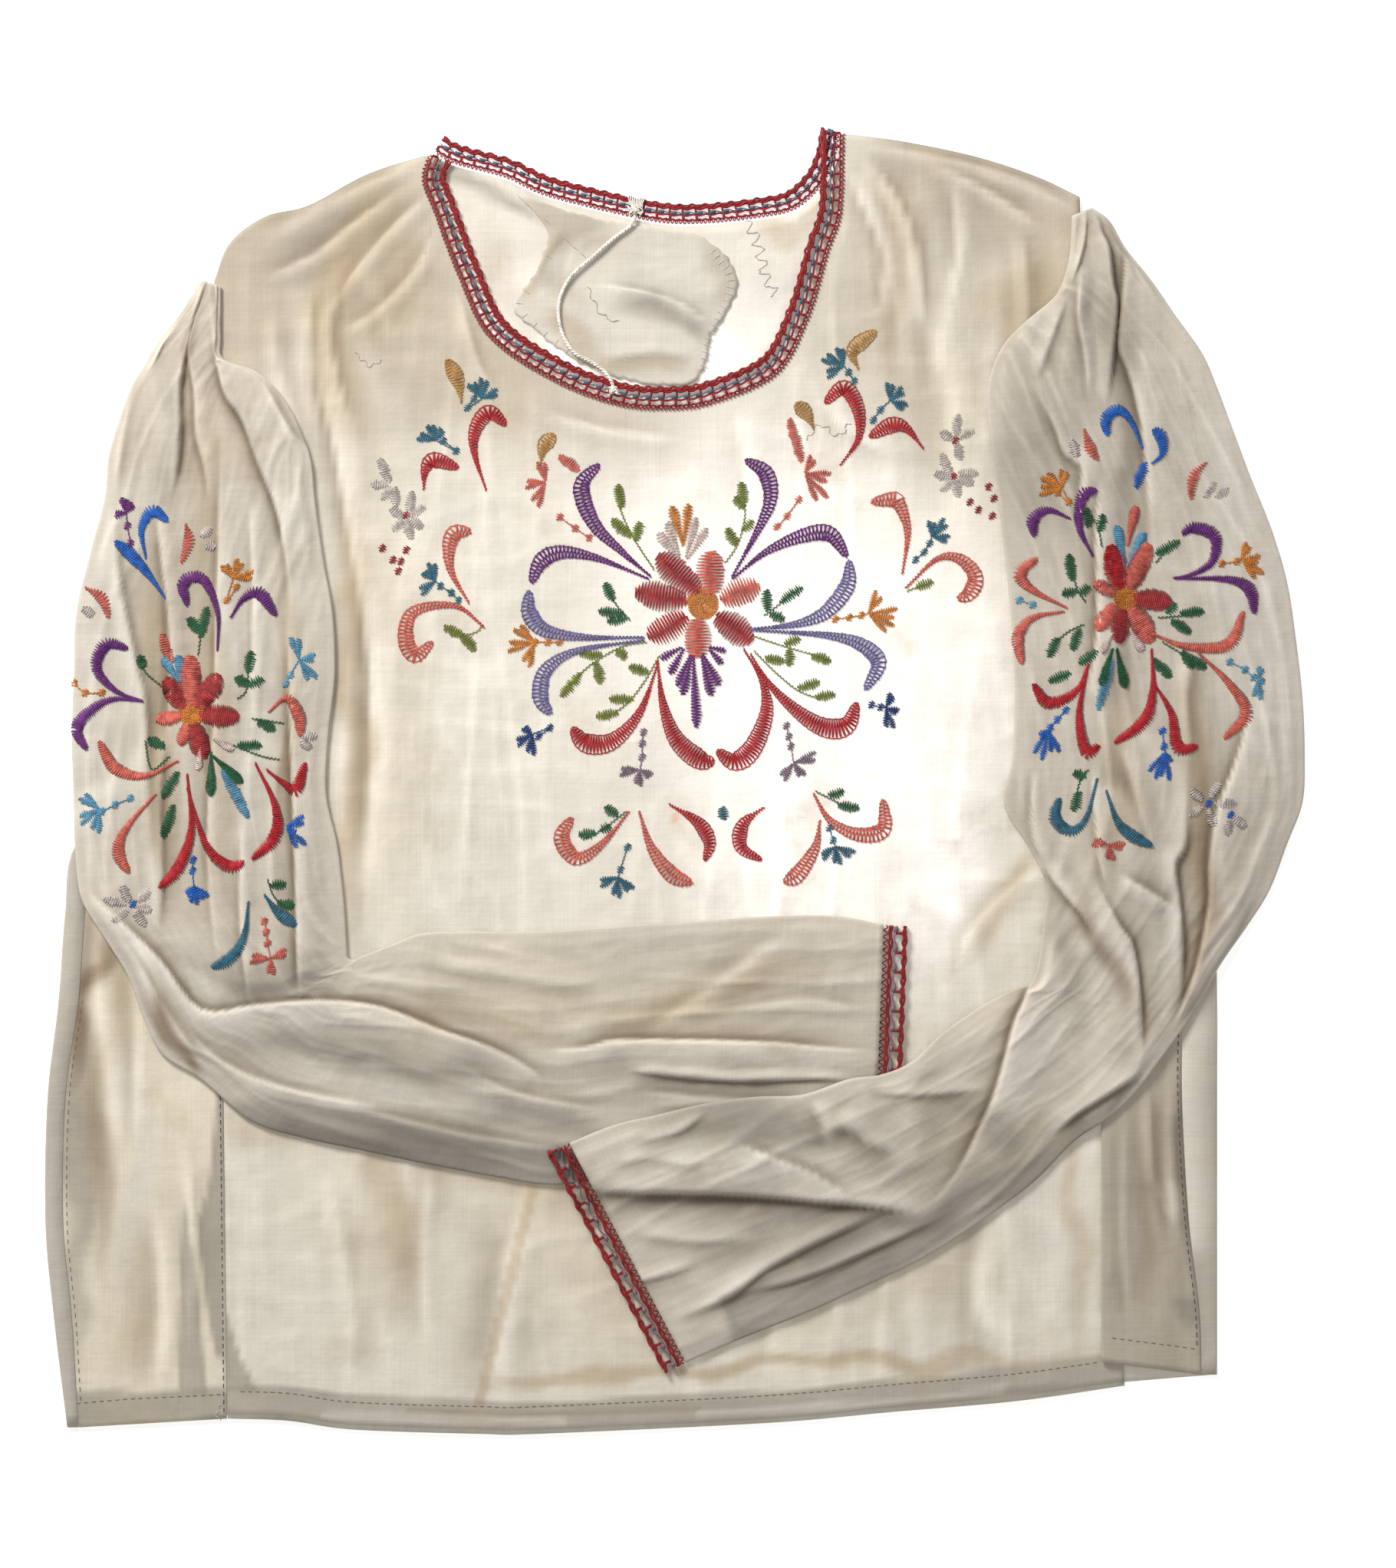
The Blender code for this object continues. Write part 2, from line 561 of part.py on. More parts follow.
def cuff_laces(name, rings, gaps, pile, material, group):
    """The cuff's lace in two halves, one past the upper wall and one past the lower."""
    last = np.array(rings[-1][:4], float)
    before = np.array(rings[-2][:4], float)
    outer, inner = last[:2], last[2:]
    ahead = (last[:2] + last[2:] - before[:2] - before[2:]) / 2
    ahead /= np.linalg.norm(ahead)
    edge = np.linspace(outer, inner, gaps + 1)
    seam = edge + ahead * GAP
    free = edge + ahead * (GAP + LACE_WIDTH)
    for half, extra in (("lower", 0), ("upper", LAYER)):
        heights = []
        for spot in seam:
            reach = SLEEVE_REACH_OVER if extra else SLEEVE_REACH
            heights.append(pile.top(spot[0], spot[1], reach) + GAP + HALF_WALL + extra)
        lace_band(f"{name}_lace_{half}", seam, free, heights, gaps, material, group)


def neck_patch(material, group):
    points = [(*spot, FRONT_LAYER) for spot in PATCH_OUTLINE]
    return cloth_piece("back_neck_patch", points, [tuple(range(len(points)))], material, group)


def neck_cord(pile, material, group):
    route = smooth_line(CORD_ROUTE, 26)
    line = bpy.data.curves.new("neck_cord", "CURVE")
    line.dimensions = "3D"
    line.bevel_depth = CORD_DIAMETER / 2 * MM
    line.bevel_resolution = 2
    line.use_fill_caps = True
    spline = line.splines.new("POLY")
    spline.points.add(len(route) - 1)
    for point, (x, y) in zip(spline.points, route):
        height = pile.top(x, y, 4) + GAP + CORD_DIAMETER / 2
        point.co = (x * MM, y * MM, height * MM, 1)
    cord = bpy.data.objects.new("neck_cord", line)
    cord.data.materials.append(material)
    group.objects.link(cord)
    return cord


def main():
    for leftover in list(bpy.data.objects):
        bpy.data.objects.remove(leftover)
    blouse = collection("embroidered_folk_blouse")
    cream = cloth_material("bleached_cotton", (0.88, 0.84, 0.75))
    front_cream = cloth_material("chest_cotton", (0.91, 0.87, 0.78))
    side_cream = cloth_material("gore_cotton", (0.74, 0.71, 0.63))
    sleeve_cream = cloth_material("sleeve_cotton", (0.62, 0.57, 0.49))
    patch_cream = cloth_material("patch_cotton", (0.66, 0.61, 0.53))
    crochet = cloth_material("crochet_yarn", (0.42, 0.02, 0.04), 0.75)
    cord_white = cloth_material("cord_yarn", (0.80, 0.77, 0.70), 0.8)

    pile = Pile()
    pile.lay(back_panel(cream, blouse))
    pile.lay(neck_patch(patch_cream, blouse))
    pile.lay(front_panel(front_cream, blouse))
    neck_laces(crochet, blouse)
    for name in ("neck_lace_front", "neck_lace_back"):
        pile.lay(bpy.data.objects[name])
    neck_cord(pile, cord_white, blouse)
    pile.lay(left_side_panel(side_cream, blouse))
    pile.lay(right_side_panel(pile, side_cream, blouse))
    sleeves = (
        ("left", LEFT_SLEEVE, LEFT_SLEEVE_FOLDS, -1, 11, LEFT_CUFF_GAPS),
        ("right", RIGHT_SLEEVE, RIGHT_SLEEVE_FOLDS, 1, 12, RIGHT_CUFF_GAPS),
    )
    for side, rings, folds, sign, open_rings, gaps in sleeves:
        cuff_laces(f"{side}_cuff", rings, gaps, pile, crochet, blouse)
        made = sleeve(f"{side}_sleeve", rings, folds, sign, open_rings, pile, sleeve_cream, blouse)
        pile.lay(made)
        for half in ("lower", "upper"):
            pile.lay(bpy.data.objects[f"{side}_cuff_lace_{half}"])


main()
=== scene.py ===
"""Dresses the frame of the embroidered folk blouse: cotton, crochet lace, cord and embroidery.

X runs across the blouse, Y from the hem to the neck and Z up from the table it lies on. The tables
hold millimetres, as in the part's source. Left and right are as seen from above, the neck at the top.
"""

import math
from collections import namedtuple

import bpy
import numpy as np
from bpy.props import FloatProperty, PointerProperty
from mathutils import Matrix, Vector
from mathutils.bvhtree import BVHTree


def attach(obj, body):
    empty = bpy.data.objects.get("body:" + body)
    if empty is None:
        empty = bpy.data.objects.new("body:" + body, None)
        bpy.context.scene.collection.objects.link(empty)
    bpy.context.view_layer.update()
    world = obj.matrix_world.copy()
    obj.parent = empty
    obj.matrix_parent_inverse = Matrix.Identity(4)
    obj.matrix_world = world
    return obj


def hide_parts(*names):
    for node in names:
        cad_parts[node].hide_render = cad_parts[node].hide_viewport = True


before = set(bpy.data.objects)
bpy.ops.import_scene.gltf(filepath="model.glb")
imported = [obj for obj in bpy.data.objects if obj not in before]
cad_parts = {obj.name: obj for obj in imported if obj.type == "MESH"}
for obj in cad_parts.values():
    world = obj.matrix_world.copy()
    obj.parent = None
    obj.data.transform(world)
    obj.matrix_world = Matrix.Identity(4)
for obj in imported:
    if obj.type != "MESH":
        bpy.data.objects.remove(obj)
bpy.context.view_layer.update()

bl_info = {
    "name": "Embroidered folk blouse",
    "version": (1, 0, 0),
    "blender": (4, 5, 0),
    "location": "3D View > Sidebar > Blouse",
    "description": "Cloth, crochet lace, cord and embroidery of a folk blouse that lies flat",
    "category": "Object",
}

MM = 0.001

# Heights of the cloth's middle surfaces, as in the part's source
CAD_WALL = 1.0
SEAM_GAP = 0.3
LAYER = CAD_WALL + SEAM_GAP
FLOOR_LAYER = CAD_WALL / 2
FRONT_LAYER = FLOOR_LAYER + LAYER
LACE_LAYER = FRONT_LAYER + LAYER

# Body
UNDERARM_Y = 28.0
BACK_HEM_INSET = 1.5
EDGE_TURN = 0.9
GORE_TOP_DROP = 6.0
PLEAT_FOLD_X = 194.5
PLEAT_LEAST_DEPTH = 4.0
PLEAT_SETTLES = 26.0
PLEAT_TOP_Y = -10.0
PLEAT_HEM_Y = -264.0
SEAM_LAP = 1.6
SEAM_CLEARANCE = 1.0
EDGE_INSET = 1.2
FRONT_WIDTH = 440.0
FRONT_LENGTH = 590.0

# Flat sizes that the pieces of cloth are cut to, across and down, and what a sleeve's seam and its
# gathers and turnings take up
FRONT_CUT = (470, 600)
LEFT_SIDE_CUT = (90, 330)
RIGHT_SIDE_CUT = (90, 280)
SLEEVE_SEAM = 4
SLEEVE_TURNINGS = 60

# Lace
LACE_WIDTH = 11.0
LACE_LAP = 1.5
BACK_LACE_WIDTH = 8.8
BACK_LACE_SEAM = 1.0

# Cord
CORD_DIAMETER = 1.9
CORD_TWIST = 3.4

Place = namedtuple("Place", "x y")
Ring = namedtuple("Ring", "outer_x outer_y inner_x inner_y loft")
Fold = namedtuple("Fold", "height left right path")
Side = namedtuple("Side", "y edge seam")
# A shade with no width is painted shade where a layer lies under the cloth, and its path is the layer's
# outline
Shade = namedtuple("Shade", "tone strength width soft path")


def places(*numbers):
    """A path or an outline, from x and y by turns."""
    return [Place(*place) for place in zip(numbers[::2], numbers[1::2])]


def rows_of(kind, *table):
    """A table with named columns; a list in a row is a path."""
    return [kind(*(places(*value) if isinstance(value, list) else value for value in row)) for row in table]


# Outlines, each from the left to the right
LEFT_SHOULDER = places(-210, 229, -203, 246, -187, 258, -167, 263, -141, 277, -114, 286)
RIGHT_SHOULDER = places(76, 296, 105, 292, 138, 285, 165, 276, 184, 267)
FRONT_NECK = places(
    -111, 286, -114, 275, -109, 261, -98, 232, -84, 204, -55, 184, -26, 173, -2, 171, 18, 174, 46, 187,
    60, 212, 69, 242, 75, 261, 76, 296,
)
BACK_NECK = places(
    -110, 286, -100, 281, -78, 275, -63, 268, -46, 263, -10, 255, 12, 254, 41, 257, 56, 261, 68, 272,
    74, 285, 76, 296,
)
HEM = places(
    -204, -290, -176, -291, -147, -295, -88, -297, -63, -297, 42, -292, 99, -287, 156, -282, 205, -275,
)

# Sides of the body from the underarm down: the folded edge, and the seam of the back's lip
LEFT_SIDE = rows_of(
    Side, (28, -210, -208), (0, -243, -234), (-28, -273, -264), (-60, -278, -269), (-100, -281, -272),
    (-144, -286, -278), (-200, -287, -279), (-245, -283, -275), (-294, -277, -272),
)
RIGHT_SIDE = rows_of(
    Side, (28, 197, 194), (0, 222, 213), (-28, 240, 230), (-60, 246, 234), (-100, 247, 232),
    (-140, 247, 231), (-197, 247, 234), (-240, 247, 239), (-270, 247, 240),
)

# Sleeves: a row for each ring from the shoulder to the cuff, with the two folded edges of the tube
# and how far its upper wall stands up in the middle
LEFT_SLEEVE = rows_of(
    Ring, (-217, 229, -207, 226, 0.2), (-222, 219, -207, 215, 0.6), (-230, 208, -207, 203, 1),
    (-237, 199, -206, 193, 1.2), (-242, 190, -191, 187, 1.4), (-248, 180, -179, 176, 1.6),
    (-253, 166, -171, 161, 1.8), (-258, 149, -166, 147, 1.8), (-260, 130, -164, 128, 1.6),
    (-267, 103, -160, 100, 1.4), (-273, 77, -156, 77, 1.2), (-274, 49, -155, 49, 1.2),
    (-275, 21, -158, 21, 1.2), (-274, -7, -159, -5, 1.2), (-273, -32, -154, -28, 1),
    (-270, -53, -151, -53, 0.8), (-260, -70, -150, -68, 0.8), (-249, -88, -149.5, -76, 0.8),
    (-242, -107, -149, -80, 0.8), (-233, -124, -146, -81, 0.8), (-216, -135, -142, -79, 0.8),
    (-193, -154, -137, -77, 0.8), (-168, -162, -129, -74, 0.8), (-144, -167, -116, -69, 0.8),
    (-116, -173, -98, -68, 0.8), (-84, -179, -74, -68, 0.8), (-56, -183, -46, -67, 0.8),
    (-25, -180, -18, -65, 0.8), (7, -177, 14, -63, 0.8), (39, -173, 46, -61, 0.7),
    (70, -170, 74, -61, 0.6), (91, -166, 95, -65, 0.5),
)
RIGHT_SLEEVE = rows_of(
    Ring, (190, 262, 181, 258, 0.2), (198, 256, 180, 240, 0.6), (205, 244, 176, 226, 1),
    (217, 229, 171, 219, 1.2), (228, 213, 159, 209, 1.4), (240, 196, 149, 198, 1.6),
    (247, 180, 143, 182, 1.8), (253, 164, 143, 164, 1.8), (262, 140, 146, 142, 1.6),
    (272, 115, 149, 115, 1.4), (279, 91, 152, 89, 1.2), (283, 65, 154, 63, 1.2), (286, 38, 155, 37, 1.2),
    (287, 12, 154, 12, 1.2), (286, -9, 150, -10, 1), (279, -28, 161, -29, 0.8), (271, -49, 169, -46, 0.8),
    (261, -65, 168, -63, 0.8), (249, -82, 166, -80, 0.8), (240, -98, 162, -92, 0.8),
    (231, -112, 153, -95, 0.8), (220, -127, 143, -100, 0.8), (210, -140, 132, -107, 0.8),
    (198, -152, 121, -115, 0.8), (182, -163, 108, -127, 0.8), (163, -182, 94, -133, 0.8),
    (140, -199, 79, -135, 0.8), (114, -216, 58, -142, 0.8), (87, -229, 37, -143, 0.8),
    (63, -240, 14, -146, 0.7), (38, -250, -7, -151, 0.7), (21, -257, -28, -156, 0.6),
    (5, -264, -48, -164, 0.5),
)
# Rings down to the underarm, where the sleeve is open to the body
LEFT_OPEN_RINGS = 11
RIGHT_OPEN_RINGS = 12

# Patch inside the back of the neck, anticlockwise from its top left corner
PATCH_OUTLINE = places(
    -72, 268, -63, 259, -58, 250, -60, 240, -67, 227, -74, 217, -62, 205, -44, 192, -20, 183, 2, 181,
    12, 186, 17, 204, 26, 219, 28, 232, 19, 244, 8, 250, -12, 253, -40, 258,
)

# Cord from the back lace to the front lace
CORD_ROUTE = places(
    -18, 259, -20, 254, -29, 247, -38, 239, -47, 231, -52, 222, -53, 213, -51, 204, -46, 196, -39, 192,
    -33, 188, -29, 183, -28, 179,
)

# Folds: height, width to the left and to the right of the way the path runs, and the path as x and y
# by turns
FRONT_FOLDS = rows_of(
    Fold,
    (1.2, 8, 3.4, [-113, 284, -146, 270, -182, 252]),
    (1.3, 9, 3.4, [-118, 275, -146, 254, -165, 239, -190, 228]),
    (1.3, 8, 3.4, [-112, 268, -128, 252, -142, 236, -160, 210]),
    (1.1, 7, 3.4, [-108, 252, -120, 230, -136, 214, -152, 204]),
    (1.2, 3.4, 9, [-150, 238, -158, 207, -154, 180, -148, 160]),
    (0.9, 3.4, 7, [-166, 226, -168, 190, -160, 150]),
    (0.8, 3.4, 8, [-100, 226, -92, 196, -84, 176]),
    (1.1, 3.4, 8, [82, 292, 121, 284, 160, 272, 184, 260]),
    (1.2, 9, 3.4, [78, 280, 92, 252, 96, 234, 92, 204]),
    (1.2, 3.4, 8, [86, 286, 102, 262, 110, 236, 112, 200]),
    (1, 3.4, 7, [112, 284, 140, 270, 170, 250]),
    (0.9, 6, 3.4, [124, 280, 130, 250, 126, 220]),
    (0.9, 3.4, 7, [156, 252, 160, 226, 158, 190]),
    (0.7, 3, 8, [-60, 168, -30, 160, 4, 156]),
    (0.7, 8, 3.4, [66, 172, 80, 160, 98, 150]),
    (1.4, 14, 4.6, [-167, 203, -159, 175, -151, 140, -138, 56, -137, 28, -141, -79]),
    (1.2, 12, 12, [-121, 280, -144, 268, -168, 256, -190, 244]),
    (1, 14, 14, [119, 217, 123, 196, 128, 170, 130, 120]),
    (1.2, 12, 12, [-67, -189, -76, -240, -84, -284]),
    (1, 12, 12, [150, -195, 140, -230, 150, -260]),
    (0.8, 9, 5, [168, -38, 150, -52, 136, -68, 128, -86]),
    (0.6, 8, 8, [-150, 120, -148, 60, -151, 0, -150, -60]),
    (0.5, 6, 6, [-110, -165, -114, -215, -112, -262]),
    (0.5, 6, 9, [-160, -175, -150, -230, -148, -270]),
    (0.5, 10, 7, [60, -200, 48, -235, 44, -268]),
    (0.6, 7, 7, [172, 216, 160, 190, 158, 150]),
    (0.5, 9, 6, [98, 240, 104, 205, 110, 170]),
    (0.6, 5, 9, [-186, 228, -182, 190, -172, 150, -165, 110]),
    (0.5, 7, 7, [-150, 238, -136, 222, -128, 196]),
    (0.4, 6, 6, [30, 170, 34, 140, 30, 110]),
)
LEFT_SIDE_FOLDS = rows_of(
    Fold,
    (1.2, 10, 10, [-258, -30, -262, -90, -256, -140, -252, -200]),
    (1, 8, 8, [-236, -190, -232, -240, -236, -280]),
    (0.6, 6, 6, [-247, -60, -244, -120, -247, -180]),
    (0.6, 4, 6, [-224, -160, -220, -210, -222, -262]),
)
RIGHT_SIDE_FOLDS = rows_of(
    Fold,
    (1.2, 4, 6, [215, -138, 216, -172, 221, -213]),
    (1, 4, 6, [228, -120, 226, -170, 230, -220]),
    (0.8, 4, 4, [217, -177, 222, -190, 227, -202]),
    (0.7, 4, 4, [205, -150, 204, -200, 208, -250]),
    (0.7, 4, 4, [236, -150, 233, -200, 236, -245]),
)
LEFT_SLEEVE_FOLDS = rows_of(
    Fold,
    (1.3, 1.6, 3, [-213, 231, -219, 214, -226, 196]),
    (1.2, 3, 1.6, [-209, 230, -207, 214, -201, 198]),
    (1.1, 1.6, 3, [-206, 226, -199, 208, -190, 196]),
    (1.2, 1.6, 3, [-218, 226, -230, 206, -240, 186]),
    (2.6, 2.2, 17, [-217, 224, -222, 201, -226, 181, -226, 165, -227, 146, -231, 128]),
    (2, 9, 2.2, [-214, 222, -221, 199, -218, 178, -217, 158, -213, 143, -211, 124]),
    (3, 24, 2.2, [-212, 222, -208, 194, -204, 177, -196, 165, -189, 146, -183, 132, -179, 119, -176, 100,
     -174, 71]),
    (1.4, 2.5, 12, [-190, 186, -183, 173, -175, 159, -166, 148, -163, 128]),
    (1.8, 14, 2, [-206, 160, -207, 111, -208, 71, -209, 36, -212, -35, -207, -88]),
    (2, 8, 2.5, [-236, 130, -233, 103, -230, 78, -229, 50, -232, 10]),
    (1.8, 2.5, 12, [-256, 120, -254, 94, -247, 57, -242, 35, -240, -10, -237, -56]),
    (2.6, 14, 2.2, [-176, 84, -174, 20, -172, -35, -171, -80, -170, -100]),
    (1.8, 2.2, 12, [-232, 30, -235, -10, -234, -40, -236, -70]),
    (1.4, 7, 2, [-197, -20, -197, -66, -193, -102]),
    (1.2, 3, 8, [-246, 190, -252, 160, -256, 130]),
    (1, 6, 2.5, [-193, 130, -191, 80, -193, 30]),
    (3, 2.2, 36, [-272, -46, -259, -58, -236, -80, -216, -104, -190, -102, -161, -100, -134, -103,
     -108, -113, -85, -121, -66, -131, -60, -138]),
    (2.6, 2, 17, [-62, -123, -40, -121, -26, -118, 10, -118, 43, -119, 65, -121, 95, -123]),
    (1.8, 9, 2, [-22, -130, -8, -132, 27, -135, 63, -134, 82, -135]),
    (1, 12, 7, [60, -64, 27, -88, 2, -106, -16, -118]),
    (1.8, 3, 8, [-246, -80, -232, -104, -216, -128]),
    (1.4, 3, 9, [-236, -100, -206, -128, -170, -142, -120, -150]),
    (1.2, 3, 10, [-100, -128, -70, -143, -30, -150]),
    (1.2, 3, 8, [-150, -148, -100, -160, -50, -168]),
    (1, 3, 8, [-20, -141, 20, -145, 70, -147]),
    (0.8, 6, 6, [-120, -80, -70, -88, -30, -92]),
    (0.7, 8, 4, [-150, -88, -120, -92, -90, -94]),
    (0.7, 4, 6, [30, -104, 60, -100, 84, -104]),
)
RIGHT_SLEEVE_FOLDS = rows_of(
    Fold,
    (1.3, 3, 1.6, [190, 263, 204, 246, 214, 226]),
    (1.2, 1.6, 3, [187, 262, 186, 246, 180, 226]),
    (1.1, 3, 1.6, [192, 262, 212, 244, 230, 218]),
    (1, 3, 1.6, [184, 258, 174, 240, 166, 220]),
    (2.4, 2, 9, [191, 262, 194, 250, 197, 243, 199, 227, 201, 215, 198, 188, 196, 172]),
    (2.8, 24, 2.2, [203, 256, 206, 241, 205, 223, 203, 200, 207, 188, 211, 174, 214, 157, 216, 136,
     218, 100]),
    (1.8, 10, 2, [163, 182, 173, 163, 178, 150, 186, 143, 184, 121, 189, 104]),
    (2.4, 20, 2, [194, 140, 192, 113, 193, 90, 192, 60, 188, 38]),
    (1.4, 6, 2.2, [186, 236, 184, 214, 187, 196, 189, 176]),
    (1.2, 3, 7, [178, 222, 170, 200, 164, 184]),
    (1.4, 4, 8, [236, 60, 232, 40, 234, 10]),
    (3, 30, 2.2, [262, 40, 261, 26, 255, 6, 247, -15, 244, -37, 244, -53, 241, -72, 237, -88, 231, -104,
     227, -114]),
    (2.2, 2.2, 10, [232, 10, 232, -26, 227, -37, 229, -56, 230, -72, 230, -88, 229, -104]),
    (1.8, 3, 8, [202, -43, 214, -50, 229, -59]),
    (2.4, 2.2, 18, [190, -44, 201, -65, 207, -74, 210, -90, 211, -108, 212, -126]),
    (2, 10, 2, [168, -36, 172, -43, 180, -53, 186, -60, 192, -71]),
    (3.2, 26, 2.2, [168, -56, 165, -78, 161, -96, 155, -110, 150, -129, 145, -145, 139, -158, 130, -176,
     116, -194]),
    (2.2, 2.2, 16, [214, -130, 201, -138, 190, -145, 180, -152, 170, -162]),
    (1.4, 7, 2, [190, 8, 192, -18, 194, -37, 197, -48]),
    (1.3, 6, 2, [164, 6, 163, -11, 164, -26, 170, -38]),
    (1, 8, 4, [203, 20, 208, 4, 214, -16, 218, -32]),
    (3, 34, 3.6, [-48, -184, -18, -185, 22, -186, 63, -189, 93, -192, 115, -195]),
    (1.4, 7, 2.5, [-20, -164, 2, -158, 14, -148]),
    (1.8, 3.2, 9, [26, -164, 43, -171, 63, -179, 82, -191]),
    (0.9, 4, 3, [-6, -174, 4, -172, 14, -170]),
    (1.2, 9, 5, [62, -143, 69, -155, 70, -168]),
    (1.4, 10, 5, [68, -152, 82, -157, 91, -163, 106, -168]),
    (1.2, 8, 3.4, [88, -140, 115, -141, 146, -138]),
    (1, 7, 2.5, [-24, -227, -10, -225, 10, -219]),
    (2, 11, 3.4, [-2, -244, 24, -233, 43, -219, 75, -203, 100, -193]),
    (1.6, 9, 2.5, [26, -233, 60, -224, 95, -209, 124, -196]),
    (1, 8, 4, [-20, -204, 10, -208, 40, -206]),
    (1.2, 8, 3, [-34, -172, -10, -170, 20, -176]),
)
PATCH_FOLDS = rows_of(
    Fold,
    (1.6, 2, 8, [-34, 226, -14, 223, 4, 217, 18, 206]),
    (0.8, 2, 6, [-48, 254, -58, 243, -67, 226]),
    (0.7, 6, 2, [-36, 192, -10, 196, 12, 194]),
    (0.5, 4, 4, [-30, 252, -44, 244, -50, 228]),
)
BACK_FOLDS = rows_of(
    Fold,
    (0.5, 4, 4, [-104, 262, -92, 240, -88, 226]),
    (0.5, 5, 4, [-96, 246, -78, 250, -66, 244]),
    (0.6, 3, 4, [48, 255, 50, 240, 48, 228]),
    (0.5, 3, 3, [57, 250, 55, 236, 58, 224]),
    (0.5, 4, 4, [30, 246, 36, 226, 32, 206]),
)


# Embroidery, drawn in millimetres. A scroll runs from its thin tail to its tip, a petal or a leaf from
# its root to its tip, and a floret is the places of its lobes' tips round its joint.
Motif = namedtuple("Motif", "kind colour path")


def motif_rows(*groups):
    """A motif for each path of each group, after the group's kind and colour."""
    return [Motif(kind, colour, places(*path)) for kind, colour, *paths in groups for path in paths]


